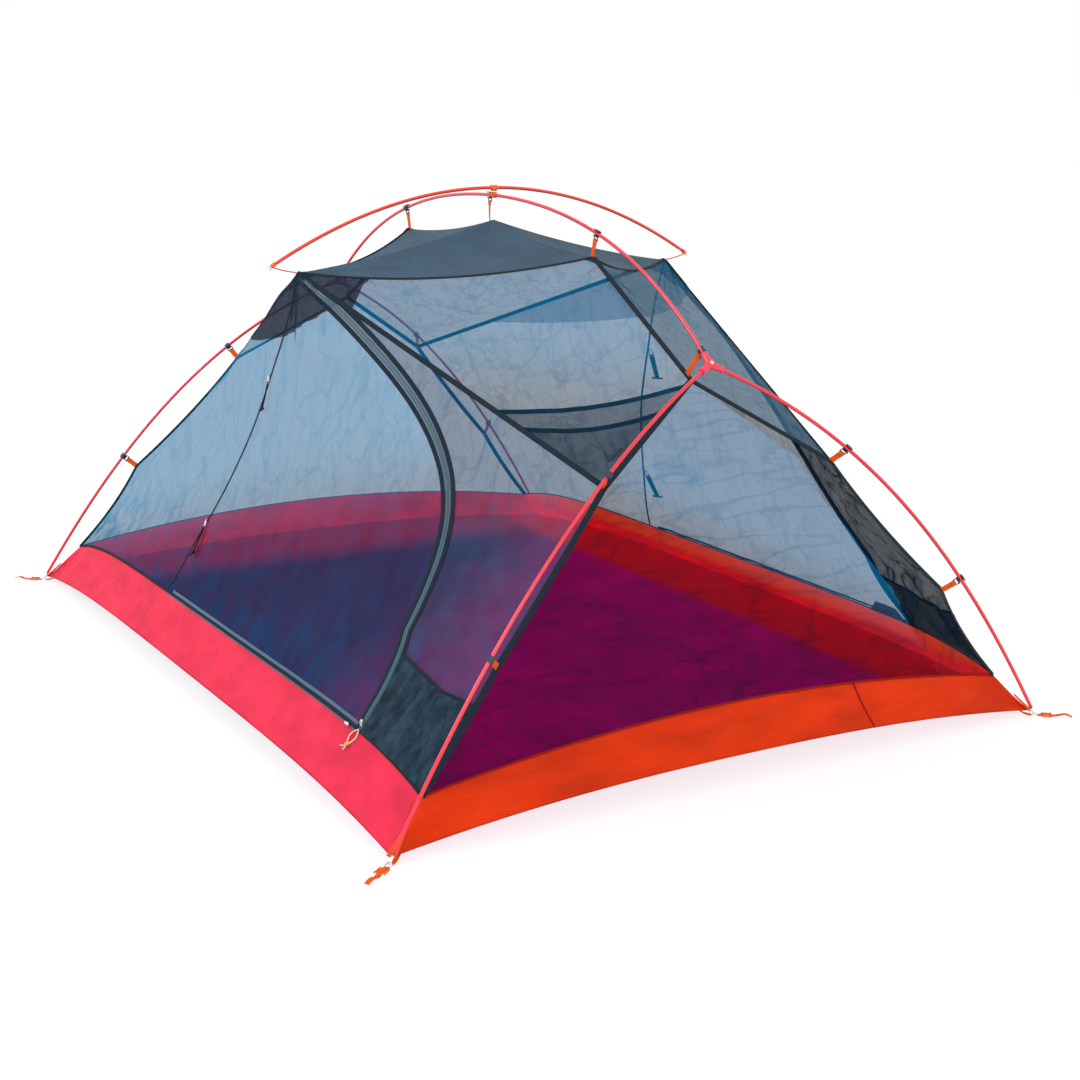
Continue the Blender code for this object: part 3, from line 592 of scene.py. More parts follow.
def smooth_line(points, count):
    """A smooth curve through the points, evenly parted (Catmull-Rom)."""
    line = [Vector(p) for p in points]
    line = [2 * line[0] - line[1], *line, 2 * line[-1] - line[-2]]
    made = []
    for i in range(count + 1):
        at = i / count * (len(line) - 3)
        k = min(int(at), len(line) - 4)
        t = at - k
        a, b, c, d = line[k : k + 4]
        bend = (2 * a - 5 * b + 4 * c - d) * t**2 + (3 * b - a - 3 * c + d) * t**3
        made.append(0.5 * ((2 * b) + (c - a) * t + bend))
    return made


def block(size, place, bevel=0.2):
    """A box with its edges cut, as (points, faces, flat). place is a 4x4 matrix."""
    half = [s / 2 for s in size]
    cut = min(size) * bevel
    shape = bmesh_box(half, cut)
    points = [tuple(place @ Vector(p)) for p in shape[0]]
    return points, shape[1], [(p[0], p[1]) for p in shape[0]]


def bmesh_box(half, cut):
    shape = bmesh.new()
    bmesh.ops.create_cube(shape, size=1, matrix=Matrix.Diagonal((half[0] * 2, half[1] * 2, half[2] * 2, 1)))
    bmesh.ops.bevel(shape, geom=shape.edges[:], offset=cut, segments=2, affect="EDGES")
    points = [tuple(v.co) for v in shape.verts]
    faces = [tuple(v.index for v in f.verts) for f in shape.faces]
    shape.free()
    return points, faces


def piece(name, parts, material, body=None, nodes=(), smooth=True):
    """One object from several (points, faces, flat) parts. It rides on a body when one is given."""
    points, faces, flats = [], [], []
    for some_points, some_faces, some_flats in parts:
        start = len(points)
        points += some_points
        faces += [tuple(i + start for i in face) for face in some_faces]
        flats += some_flats
    mesh = bpy.data.meshes.new(name)
    mesh.from_pydata(points, [], faces)
    mesh.validate()
    layer = mesh.uv_layers.new(name="flat")
    index = np.zeros(len(mesh.loops), np.int32)
    mesh.loops.foreach_get("vertex_index", index)
    layer.data.foreach_set("uv", np.array(flats, np.float32)[index].ravel())
    if smooth:
        mesh.polygons.foreach_set("use_smooth", [True] * len(mesh.polygons))
    made = bpy.data.objects.new(name, mesh)
    bpy.context.scene.collection.objects.link(made)
    mesh.materials.append(M[material])
    if body:
        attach(made, body)
    if nodes:
        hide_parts(*nodes)
    return made


def thicken(made, thickness, offset=0.0):
    shell = made.modifiers.new("Cloth", "SOLIDIFY")
    shell.thickness = thickness
    shell.offset = offset
    shell.use_even_offset = False


TRIANGLE_FILL = 0.55


def length_of(line):
    return sum((b - a).length for a, b in zip(line, line[1:]))


def cloth(name, rows, flat, material, body, nodes, thickness=0.0):
    """A panel of cloth, thickened when a thickness is given. Its flat size is worked out, a triangle filling half of
    its rectangle, but not used.
    """
    made = piece(name, [grid(rows, flat)], material, body, nodes)
    if thickness:
        thicken(made, thickness)
    rows = [list(row) for row in rows]
    wide = max(length_of(row) for row in rows)
    tall = max(length_of(column) for column in zip(*rows))
    area = sum(p.area for p in made.data.polygons)
    if area < TRIANGLE_FILL * wide * tall:
        tall = 2 * area / wide
    return made


def door_blend(made):
    """Door pieces, beside the seam that the door is sewn along, have their placement baked into their points."""
    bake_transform(made)


# ---------------------------------------------------------------- tub and floor


def tub_low(s, long_side, sign):
    if long_side:
        x = s * FOOT_X
        return Vector((x, -sign * FOOT_Y, FOOT_Z + floor_lift_long(x)))
    y = s * FOOT_Y
    return Vector((sign * FOOT_X, y, FOOT_Z + floor_lift_end(y)))


def tub_high(s, long_side, sign):
    if long_side:
        return Vector((s * TUB_X, -sign * TUB_Y, tub_rise(s * TUB_X)))
    y = s * TUB_Y
    return Vector((sign * TUB_X, y, TUB_CORNER_Z + TUB_RISE_END * (1 - s**2)))


def tub_surface(s, t, long_side, sign):
    """A point of a tub wall: s along it from -1 to 1, t up it from 0 to 1, with its folds."""
    low, high = tub_low(s, long_side, sign), tub_high(s, long_side, sign)
    here = low.lerp(high, t)
    out = Vector((0, -sign, 0.35)) if long_side else Vector((sign, 0, 0.35))
    along = Vector((1, 0, 0)) if long_side else Vector((0, 1, 0))
    rise = (high - low).normalized()
    fold = 0.0
    for corner in (-1, 1):
        tip = tub_low(corner, long_side, sign)
        fold += fan(here, tip, along * -corner, rise, 7, 0.30, 0.007, corner * 3.0 + (5 if long_side else 9))
    fold += 0.0035 * noise.noise(Vector((here.dot(along) * 5, t * 1.3, 3 + 2 * sign)))
    fold *= math.sin(math.pi * min(1, max(0, t))) ** 0.7
    belly = -0.004 * math.sin(math.pi * t)
    return here + out.normalized() * (fold + belly)


def flat_side(p):
    return (p.x, p.z * 1.4 + p.y)


def flat_end(p):
    return (p.y, p.z * 1.4 + p.x)


LINING_GAP = 0.0022


def make_tub():
    """Each tub wall is a cloth with a coated lining just inside it."""
    for names, long_side, count, flat in ((SIDES, True, 150, flat_side), (ENDS, False, 120, flat_end)):
        for name, sign in names:
            look, slot, node_name = ("tub_end", "ripstop_orange", f"tub_end_{name}")
            inward = Vector((-sign * LINING_GAP, 0, 0.0004))
            if long_side:
                look, slot, node_name = (f"tub_{name}", "ripstop_red", f"tub_{name}")
                inward = Vector((0, sign * LINING_GAP, 0.0004))
            rows = [[tub_surface(s, t, long_side, sign) for s in steps(count, -1, 1)] for t in steps(16)]
            cloth(f"tub_{name}_cloth", rows, flat, look, "tent", (node_name,), 0.0008)
            inner = [[p + inward for p in row] for row in rows]
            # Each lining glows with painted light from its material, for the light through the wall.
            look = "lining_back" if long_side else "lining_left"
            cloth(f"tub_{name}_lining", inner, flat, look, "tent", (), 0.0006)


def seen_flat(p):
    return (p.x, p.y)


def floor_surface(x, y):
    here = floor_point(x, y)
    edge = min(1, 6 * (1 - abs(x) / FOOT_X)) * min(1, 6 * (1 - abs(y) / FOOT_Y))
    fold = 0.5 + 0.5 * noise.noise(Vector((x * 3.1, y * 3.7, 1.5)))
    fold += 0.35 * abs(noise.noise(Vector((x * 6 + y * 3, y * 5 - x * 2, 7.5))))
    here.z += 0.008 * fold * max(0, edge)
    return here


def make_floor():
    rows = [[floor_surface(x, y) for x in steps(130, -FOOT_X, FOOT_X)] for y in steps(100, -FOOT_Y, FOOT_Y)]
    cloth("floor_sheet", rows, seen_flat, "floor", "tent", ("floor",))
    lines = []
    for y in (-0.38, 0.38):
        line = [floor_surface(x, y) + Vector((0, 0, 0.0006)) for x in steps(80, -0.80, 0.80)]
        lines.append(sweep(line, 0.0032, 0.0010, (0, 0, 1), 8))
    piece("floor_crease", lines, "crease", "tent")


# ---------------------------------------------------------------- netting


def wall_folds(p, side):
    """Folds of the long wall: upright ones above the tub, and fans at the corners and the awning point."""
    along, rise = Vector((1, 0, 0)), Vector((0, 0, 1))
    low = p.z - tub_rise(p.x)
    fold = 0.006 * noise.noise(Vector((p.x * 17, p.z * 2.5, side * 2.0))) * math.exp(-low / 0.13)
    fold += 0.004 * noise.noise(Vector((p.x * 5 + p.z * 3, p.z * 1.6, side * 5.0)))
    for end in (-1, 1):
        corner = mirrored(LOWER_CLIP, end, side)
        fold += fan(p, corner, along * -end, rise, 4, 0.22, 0.006, 11.0 * end)
        corner = mirrored(UPPER_CLIP, end, side)
        fold += fan(p, corner, along * -end, rise, 4, 0.25, 0.006, 17.0 * end)
        corner = Vector((end * TUB_X, -side * TUB_Y, TUB_CORNER_Z))
        fold += fan(p, corner, along * -end, rise, 5, 0.25, 0.008, 23.0 * end)
    fold += fan(p, mirrored(AWNING, 1, side), along, -rise, 5, 0.30, 0.010, 31.0)
    ease = min(1, max(0, low) / 0.02) * min(1, max(0, AWNING.z - p.z) / 0.05)
    edge_x, _ = along_legs(p.z)
    ease *= min(1, max(0, edge_x - abs(p.x)) / 0.03)
    return fold * ease


def wall_cloth(x, z, side, lift=0.0):
    here = wall_point(x, z, side)
    return here + wall_normal(x, z, side) * (wall_folds(here, side) + lift)


def tub_line(x):
    return tub_rise(x) - 0.001


def net_row(x0, x1, z0, z1, rise, side, count, lift=0.0):
    row = []
    for share in steps(count):
        x = x0 + (x1 - x0) * share
        line = z0 + (z1 - z0) * share
        bottom = tub_line(x0) * (1 - share) + tub_line(x1) * share
        row.append(wall_cloth(x, line + rise * (tub_line(x) - bottom), side, lift))
    return row


def flat_wall(p):
    return (p.x, p.z * 1.05)


WALL_TOP, RIGHT_NET_TOP = 0.950, 0.905


def up_from(foot, top, share):
    return foot + (top - foot) * share


def make_walls():
    """The netting of each long wall: left of the door, right of its zip, and the door itself."""
    for name, side in SIDES:
        # The back wall takes the lighter far copy of the net: painted light.
        look, side_look = ("net", "net_side") if side == 1 else ("net_far_lit", "net_side_far")
        rows = []
        for share in steps(70):
            z_leg = up_from(TUB_CORNER_Z, WALL_TOP, share)
            z_seam = up_from(tub_line(DOOR_SEAM_X), WALL_TOP, share)
            rows.append(net_row(-along_legs(z_leg)[0], seam_x(z_seam), z_leg, z_seam, 1 - share, side, 60))
        cloth(f"{name}_net_left", rows, flat_wall, look, "tent", (f"{name}_wall_left",))
        rows = []
        for share in steps(64):
            z_leg = up_from(TUB_CORNER_Z, RIGHT_NET_TOP, share)
            z_zip = up_from(tub_line(ZIP_X), RIGHT_NET_TOP, share)
            leg = along_legs(z_leg)[0]
            rows.append(net_row(min(zip_x(z_zip), leg - 0.0005), leg, z_zip, z_leg, 1 - share, side, 30))
        cloth(f"{name}_net_right", rows, flat_wall, side_look, "tent", (f"{name}_wall_right",))
        rows = []
        for share in steps(70, 0, 0.998):
            x_zip, z_zip = zip_xz(share)
            z_zip = max(z_zip, tub_line(x_zip))
            z_seam = up_from(tub_line(DOOR_SEAM_X), WALL_TOP, share)
            rows.append(net_row(seam_x(z_seam), x_zip, z_seam, z_zip, 1 - share, side, 72))
        door = cloth(f"{name}_door_net", rows, flat_wall, look, None, (f"{name}_door",))
        door_blend(door)


def end_folds(here, low, end):
    """Folds of an end's netting: upright ones above the tub, and fans at its corners and clips."""
    rise = Vector((0, 0, 1))
    fold = 0.005 * noise.noise(Vector((here.y * 14, here.z * 2, 4.0 * end))) * math.exp(-low / 0.12)
    for side in (-1, 1):
        along = Vector((0, side, 0))
        corner = Vector((end * TUB_X, -side * TUB_Y, TUB_CORNER_Z))
        fold += fan(here, mirrored(LOWER_CLIP, end, side), along, rise, 6, 0.3, 0.010, 3 * side)
        fold += fan(here, mirrored(UPPER_CLIP, end, side), along, rise, 5, 0.25, 0.008, 7 * side)
        fold += fan(here, corner, along, rise, 7, 0.3, 0.010, 9 * side)
    return fold


EDGE_COLUMN = 64


def make_ends():
    """The netting of each end, from the tub up to the hub's corner. The right one is denser beside its far leg."""
    for name, end in ENDS:
        rows = []
        for share in steps(60):
            z_edge = TUB_CORNER_Z + (HUB_CORNER.z - TUB_CORNER_Z) * share
            reach = max(0.0008, -end_edge(z_edge)[1])
            row = []
            for part in steps(72, -1, 1):
                rise = TUB_RISE_END * (1 - part**2) * (1 - share)
                z = min(z_edge + rise, HUB_CORNER.z)
                here = end_point(reach * part, z, end)
                low = z - (TUB_CORNER_Z + TUB_RISE_END * (1 - part**2))
                ease = min(1, (1 - abs(part)) * reach / 0.03) * min(1, max(0, low) / 0.02)
                ease *= min(1, max(0, HUB_CORNER.z - z) / 0.03)
                row.append(here + Vector((end, 0, 0.2)).normalized() * end_folds(here, low, end) * ease)
            rows.append(row)
        # The right end takes the shaded copy of the net, painted shade; the left end takes the lighter far copy,
        # painted light.
        look, node_name = "net_end_shaded" if end == 1 else "net_far_lit", f"end_mesh_{name}"
        made = cloth(
            f"end_net_{name}", rows, lambda p: (p.y, p.z * 1.1), look, "tent", (node_name,),
        )
        if end == 1:
            made.data.materials.append(M["net_end_edge"])
            for face in made.data.polygons:
                face.material_index = int(face.index % (len(rows[0]) - 1) >= EDGE_COLUMN)


def upper_surface(share, part, end, side):
    """The upper netting: share runs from the ridge to the awning point, part from the roof's edge outwards."""
    inner, outer = roof_edge(share), HUB_CORNER.lerp(UPPER_CLIP, share)
    here = inner.lerp(outer, part)
    ease = min(1, part / 0.05) * min(1, (1 - part) / 0.05)
    ease = ease * min(1, share / 0.05) * min(1, (1 - share) / 0.05)
    fold = -0.010 * math.sin(math.pi * part) * math.sin(math.pi * share)
    fold += 0.004 * noise.noise(Vector((here.x * 5 + here.y * 4, here.y * 6, 2.0 * end)))
    fold += fan(here, AWNING, Vector((1, 0, 0)), Vector((0, 1, 0)), 5, 0.30, 0.008, 13.0)
    fold += fan(here, UPPER_CLIP, Vector((-1, 0, 0)), Vector((0, 1, 0)), 5, 0.22, 0.006, 19.0)
    fold += fan(here, RIDGE_END, Vector((1, 0, 0)), Vector((0, -1, 0)), 5, 0.25, 0.006, 29.0)
    here = here + Vector((0.2, -0.35, 0.9)).normalized() * fold * ease
    return mirrored(here, end, side)


def make_upper():
    for name, end in ENDS:
        rows = [[upper_surface(share, part, end, 1) for part in steps(40)] for share in steps(36, 1, 0)]
        rows += [[upper_surface(share, part, end, -1) for part in steps(40)] for share in steps(36)[1:]]
        node_name = f"upper_mesh_{name}"
        made = cloth(f"upper_net_{name}", rows, seen_flat, "net_upper", "tent", (node_name,))
        made.data.materials.append(M["net_upper_far"])
        for face in made.data.polygons:
            face.material_index = int(face.center.y > 0 and end == 1)


def roof_surface(share, part, end, side):
    middle = Vector((0, 0, APEX_Z))
    here = middle.lerp(roof_edge(share), part)
    here.z -= 4 * 0.012 * part * (1 - part)
    fold = fan(here, AWNING, Vector((0, 1, 0)), Vector((1, 0, 0)), 6, 0.22, 0.008, 41.0)
    fold += fan(here, middle, Vector((0, 1, 0)), Vector((1, 0, 0)), 4, 0.12, 0.005, 43.0)
    here.z += fold * min(1, (1 - part) / 0.06) * min(1, 12 * share) * min(1, 12 * (1 - share))
    return mirrored(here, end, side)


def make_roof():
    """The four quarters of the roof, row after row round its apex."""
    rows = []
    for end, side in ((1, 1), (-1, 1), (-1, -1), (1, -1)):
        shares = steps(30) if end == side else steps(30, 1, 0)
        rows += [[roof_surface(share, part, end, side) for part in steps(24, 0.004, 1)] for share in shares[:-1]]
    rows.append(rows[0])
    cloth("roof_cloth", rows, seen_flat, "roof", "tent", ("roof_panel",), 0.0008)


# ---------------------------------------------------------------- tapes, seams and zips


def wall_line(places, side, lift):
    """Points and outward directions on the long wall at (x, z) places."""
    points = [wall_cloth(x, z, side, lift) for x, z in places]
    return points, [wall_normal(x, z, side) for x, z in places]


def straight(start, end, count):
    return [start.lerp(end, share) for share in steps(count)]


def leg_edge(end, side, low, high):
    return [mirrored((*along_legs(z), z), end, side) for z in steps(40, low, high)]


def make_tapes():
    """Every sewn tape of the standing canopy, in one piece for each side and end."""
    for name, side in SIDES:
        parts = []
        for end in (1, -1):
            upper = mirrored(UPPER_CLIP, end, side)
            roof = [mirrored(roof_edge(share), end, side) for share in steps(40)]
            for line, out, width, height, lift in (
                (leg_edge(end, side, TUB_CORNER_Z, UPPER_CLIP.z), (0.75, -0.65, 0.15), 0.013, 0.0022, 0.001),
                (straight(mirrored(AWNING, end, side), upper, 40), (0.25, -0.75, 0.6), 0.012, 0.0022, 0.0012),
                (straight(mirrored(HUB_CORNER, end, 1), upper, 30), (0.72, -0.35, 0.6), 0.014, 0.0024, 0.0012),
                (roof, (0.3, -0.3, 0.9), 0.008, 0.0022, 0.0014),
            ):
                parts.append(tape(line, width, height, mirrored(out, end, side).normalized(), lift))
        seam, out = wall_line([(seam_x(z), z) for z in steps(50, tub_line(DOOR_SEAM_X), 0.948)], side, 0.0012)
        parts.append(tape(seam, 0.0065, 0.0020, out))
        hem = [tub_surface(s, 1.0, True, side) for s in steps(120, -1, 1)]
        parts.append(tape(hem, 0.007, 0.0024, Vector((0, -side * 0.7, 0.7)), 0.0012))
        piece(f"{name}_tapes", parts, "tape", "tent")
    for name, end in ENDS:
        ridge = straight(mirrored(RIDGE_END, end), mirrored(HUB_CORNER, end), 40)
        parts = [tape(ridge, 0.014, 0.0024, Vector((end * 0.5, 0, 0.87)), 0.0014)]
        hem = [tub_surface(s, 1.0, False, end) for s in steps(100, -1, 1)]
        out = Vector((end * 0.7, 0, 0.7))
        piece(f"end_hem_{name}", [tape(hem, 0.0045, 0.0024, out, 0.0012)], "hem", "tent")
        line = [tub_surface(0.42, t, False, end) + out * 0.0008 for t in steps(16)]
        seam = tape(line, 0.0045, 0.0016, (end * 0.9, 0, 0.4))
        piece(f"end_seam_{name}", [seam], "hem", "tent")
        piece(f"end_tapes_{name}", parts, "tape", "tent")


def beside(places, shift):
    """The route moved sideways by a distance, towards the legs where it is positive."""
    moved = []
    for i, (x, z) in enumerate(places):
        before, after = places[max(0, i - 1)], places[min(len(places) - 1, i + 1)]
        way = Vector((after[0] - before[0], after[1] - before[1])).normalized()
        z_there = z - way.x * shift
        moved.append((min(x + way.y * shift, along_legs(z_there)[0] - 0.002), z_there))
    return moved


def make_zips():
    """The curved zip in two halves, a coil between dark tapes, and the straight zip on the tub's edge."""
    for name, side in SIDES:
        route = [zip_xz(share) for share in steps(90, 0.0, 0.985)]
        halves = (("fixed", 1, "tent"), ("door", -1, None))
        for label, sign, body in halves:
            line, out = wall_line(beside(route, sign * 0.0112), side, 0.0016)
            made = piece(f"{name}_zip_tape_{label}", [tape(line, 0.0110, 0.0018, out)], "tape", body)
            if not body:
                door_blend(made)
        for label, sign, body in halves:
            line, out = wall_line(beside(route, sign * 0.0034), side, 0.0012)
            parts = [tape(line, 0.0052, 0.0012, out)]
            line, out = wall_line(beside(route, sign * 0.0011), side, 0.0022)
            parts.append(sweep(line, 0.0017, 0.0017, out, 6))
            made = piece(f"{name}_zip_coil_{label}", parts, "coil", body)
            if not body:
                door_blend(made)
        xs = steps(60, DOOR_SEAM_X + 0.01, ZIP_X)
        line = [Vector((x, -side * (TUB_Y + 0.0018), tub_rise(x) - 0.0005)) for x in xs]
        parts = [tape(line, 0.009, 0.0016, (0, -side * 0.8, 0.6))]
        piece(f"{name}_zip_coil_tub", parts, "coil", "tent")
        line, out = wall_line([(x, tub_rise(x) + 0.0075) for x in xs[2:]], side, 0.0012)
        foot = piece(f"{name}_zip_coil_foot", [tape(line, 0.0075, 0.0014, out)], "coil", None)
        door_blend(foot)


def patch_rows(low_start, low_end, x_start, x_end, side):
    """Rows across the top of a long wall, from its lower edge between two heights up to the awning point."""
    rows = []
    for share in steps(24):
        z_start, z_end = (z + (0.9495 - z) * share for z in (low_start, low_end))
        first, last = x_start(z_start), x_end(z_end)
        row = []
        for part in steps(18):
            z = z_start + (z_end - z_start) * part - 0.010 * math.sin(math.pi * part) * (1 - share)
            row.append(wall_cloth(first + (last - first) * part, z, side, 0.0024))
        rows.append(row)
    return rows


def make_patches():
    """Solid reinforcement at the awning points, and the stuff pockets beside the doors."""
    for name, side in SIDES:
        # The far side takes the lighter copy of the patch: painted light.
        look = "patch" if side == 1 else "patch_far_lit"
        rows = patch_rows(0.800, 0.885, seam_x, lambda z: zip_x(z) - 0.016, side)
        door = cloth(f"{name}_awning_patch_door", rows, flat_wall, look, None, ())
        door_blend(door)
        rows = patch_rows(0.722, 0.800, lambda z: -along_legs(z)[0] + 0.004, seam_x, side)
        cloth(f"{name}_awning_patch_wall", rows, flat_wall, look, "tent", ())
        for end_name, end in ENDS:
            rows = []
            for reach in steps(16, 0.03, 1):
                places = [(1 - 0.25 * reach * (1 - turn), 0.20 * reach * turn) for turn in steps(16)]
                rows.append([upper_surface(share, part, end, side) + Vector((0, 0, 0.0015)) for share, part in places])
            label = f"{name}_roof_patch_{end_name}"
            cloth(label, rows, seen_flat, look, "tent", ())
        rows = []
        for share in steps(30):
            row = []
            for part in steps(60):
                foot_x = ZIP_X + 0.012 + (0.985 * TUB_X - ZIP_X - 0.012) * part
                top_z = 0.278 - 0.031 * min(1, part * 1.6)
                z = tub_rise(foot_x) + (top_z - tub_rise(foot_x)) * share
                first, last = zip_x(max(z, tub_rise(ZIP_X))) + 0.010, along_legs(z)[0] - 0.002
                x = first + (last - first) * part
                fold = 0.0030 * noise.noise(Vector((part * 22, share * 1.5, 3.0 * side)))
                fold *= math.sin(math.pi * share) ** 0.5
                fold += 0.004 * math.sin(math.pi * part) * math.sin(math.pi * share * 0.5)
                row.append(wall_cloth(x, z, side, 0.0037 + fold))
            rows.append(row)
        line = [p + wall_normal(p.x, p.z, side) * 0.001 for p in rows[-1]]
        look, leg = "stuff" if side == 1 else "net_side_far", f"leg_pole_{name}_right"
        cloth(f"{name}_stuff_pocket", rows, flat_wall, look, "tent", ())
        if side == -1:
            rows = []
            for share in steps(12):
                z = tub_rise(0.70) + 0.003 + 0.036 * share
                first, last = 0.615 + 0.045 * share, zip_x(z) - 0.020
                rows.append([wall_cloth(first + (last - first) * part, z, side, -0.0025) for part in steps(12)])
            gusset = cloth(f"{name}_zip_gusset", rows, flat_wall, "burgundy", None, ())
            door_blend(gusset)
        hem = tape(line, 0.007, 0.002, (0, -side, 0.3))
        piece(f"{name}_stuff_pocket_hem", [hem], "tape", "tent")


def flat_pocket(p):
    return (p.x * 1.4, p.z * 1.4)


def make_gear_pocket():
    """Netting across the upper corner by the front leg, between its two tapes and the leg clip."""
    top = (AWNING.lerp(UPPER_CLIP, 0.678), HUB_CORNER.lerp(UPPER_CLIP, 0.035))
    middle = (AWNING.lerp(UPPER_CLIP, 0.755), HUB_CORNER.lerp(UPPER_CLIP, 0.29))
    drop = Vector((-0.35, 0.35, -0.87)).normalized()
    for label, first, second, look in (("band", top, middle, "net_upper"), ("net", middle, None, "net_pocket")):
        rows = []
        for share in steps(26):
            hang = 0.022
            if second is None:
                start, end = (p.lerp(UPPER_CLIP, share * 0.99) for p in first)
                if share >= 0.02:
                    hang = 0.022 * (1 - share) + 0.01 * math.sin(math.pi * share)
            else:
                start, end = (p.lerp(q, share) for p, q in zip(first, second))
            row = []
            for part in steps(40):
                bow = math.sin(math.pi * part)
                fold = 0.004 * noise.noise(Vector((part * 7, share * 5, 8.0))) * bow
                row.append(start.lerp(end, part) + drop * (0.004 + bow * hang + fold))
            rows.append(row)
        nodes, leg = ("gear_pocket",) if label == "net" else (), "leg_pole_front_right"
        cloth(f"gear_pocket_{label}", rows, flat_pocket, look, "tent", nodes)
        line = [p + Vector((0.3, -0.4, 0.5)) * 0.002 for p in rows[0]]
        edge = tape(line, 0.011, 0.002, (0.5, -0.6, 0.6))
        piece(f"gear_pocket_{label}_tape", [edge], "tape", "tent")


# ---------------------------------------------------------------- poles and hubs

POLE = 0.0078
HUB_X = 0.877
LEG_BENDS = (Vector((0.9964, -0.3516, 0.682)), Vector((1.0374, -0.6035, 0.377)))
LEG_CLIPS = (0.3116, 0.6733)
RIDGE_TOP, RIDGE_BEND, RIDGE_HOOK = 1.120, 0.246, 0.1667
CROSS_TOP, CROSS_HALF, CROSS_BEND = 1.138, 0.567, 0.512


def ridge_point(x):
    return Vector((x, 0, RIDGE_TOP - RIDGE_BEND * x**2 - RIDGE_HOOK * x**4))


def ridge_way(x):
    return Vector((1, 0, -2 * RIDGE_BEND * x - 4 * RIDGE_HOOK * x**3)).normalized()


def cross_point(y):
    return Vector((0, y, CROSS_TOP - CROSS_BEND * y**2))


def leg_stops():
    return (ridge_point(HUB_X), *LEG_BENDS, Vector((1.075, -0.825, 0.004)))


def leg_point(share):
    low, high = 1 - share, share
    weights = (low**3, 3 * low**2 * high, 3 * low * high**2, high**3)
    return sum((w * p for w, p in zip(weights, leg_stops())), Vector((0, 0, 0)))


def leg_way(share):
    stops = leg_stops()
    low, high = 1 - share, share
    weights = (low**2, 2 * low * high, high**2)
    pull = sum((w * (b - a) for w, a, b in zip(weights, stops, stops[1:])), Vector((0, 0, 0)))
    return pull.normalized()


def pole(name, line, look, body, node_name, joints):
    """A tube with a fine sleeve edge at each section joint."""
    up = (0.13, 0.2, 0.97)
    parts = [sweep(line, POLE, None, up, 16)]
    for at in joints:
        k = int(at * (len(line) - 2))
        here, way = line[k], (line[k + 1] - line[k]).normalized() * 0.0006
        parts.append(sweep([here - way, here + way], POLE + 0.0007, None, up, 16))
    piece(name, parts, look, body, (node_name,))


def make_poles():
    reach = ridge_point(HUB_X) - ridge_way(HUB_X) * 0.012
    line = [ridge_point(x) for x in steps(120, -reach.x, reach.x)]
    pole("ridge_tube", line, "pole", "tent", "ridge_pole", (0.26, 0.5, 0.74))
    line = [cross_point(y) for y in steps(70, -CROSS_HALF, CROSS_HALF)]
    pole("cross_tube", line, "pole_cross", "cross_pole", "cross_pole", (0.5,))
    foot, last = leg_point(1), leg_way(1)
    for side_name, side in SIDES:
        for end_name, end in ENDS:
            label = f"{side_name}_{end_name}"
            line = [mirrored(leg_point(share), end, side) for share in steps(90, 0.010, 0.985)]
            pole(f"leg_tube_{label}", line, "pole", "tent", f"leg_pole_{label}", (0.36, 0.69))
            pin = [mirrored(foot - last * d, end, side) for d in (0.0185, 0.004, 0.0)]
            tip = sweep(pin, (0.0062, 0.0052, 0.0034), None, (0.13, 0.97, 0.2), 14)
            piece(f"leg_tip_{label}", [tip], "silver", "tent")


def make_hubs():
    """Each hub is a smooth moulding: three sockets with thick mouths round a flat boss, with a rivet through it."""
    for name, end in ENDS:
        hub = mirrored(ridge_point(HUB_X), end)
        ways = [mirrored(-ridge_way(HUB_X), end), mirrored(leg_way(0), end, 1), mirrored(leg_way(0), end, -1)]
        out = Vector((end * 0.78, 0, 0.62)).normalized()
        parts = []
        for way in ways:
            line = [hub + way * d for d in (0.0, 0.006, 0.012, 0.018, 0.024, 0.0268, 0.0272, 0.0298, 0.0302)]
            wide = (0.0150, 0.0152, 0.0150, 0.0142, 0.0138, 0.0138, 0.0152, 0.0152, 0.0140)
            parts.append(sweep(line, wide, None, out, 20))
        boss = [hub + out * d for d in (-0.0085, -0.0078, 0.0082, 0.0090)]
        parts.append(sweep(boss, (0.014, 0.0185, 0.0185, 0.014), None, (0, 1, 0), 24))
        piece(f"hub_body_{name}", parts, "hub", "tent", (f"hub_{name}",))
        line = [hub + out * d for d in (-0.0100, 0.0098, 0.0104)]
        rivet = sweep(line, (0.0078, 0.0078, 0.0050), None, (0, 1, 0), 20)
        piece(f"hub_rivet_{name}", [rivet], "silver", "tent")


# ---------------------------------------------------------------- clips and connector


def clip_place(canopy, pole_at, way):
    away = pole_at - canopy
    away -= way * away.dot(way)
    reach = away.length
    away.normalize()
    across = way.cross(away)
    place = Matrix((across, away, -way)).transposed().to_4x4()
    place.translation = pole_at - away * reach
    return place, reach


def hook_profile(reach):
    """Outline of a hook round the pole: its inner arc, one lip, its outer arc and the other lip."""
    thick, bore, lip = 0.0026, 0.0050, 0.0046
    outer = bore + thick
    points = []
    for i in range(15):
        a = math.radians(268 - i * (268 - 92) / 14)
        points.append((bore * math.cos(a), reach + bore * math.sin(a)))
    points.append((lip, reach + bore + 0.0002))
    points.append((lip + 0.0006, reach + bore + thick / 2))
    points.append((lip, reach + outer))
    for i in range(15):
        a = math.radians(92 + i * (268 - 92) / 14)
        points.append((outer * math.cos(a), reach + outer * math.sin(a)))
    points.append((lip, reach - outer))
    points.append((lip + 0.0006, reach - bore - thick / 2))
    points.append((lip, reach - bore - 0.0004))
    return points


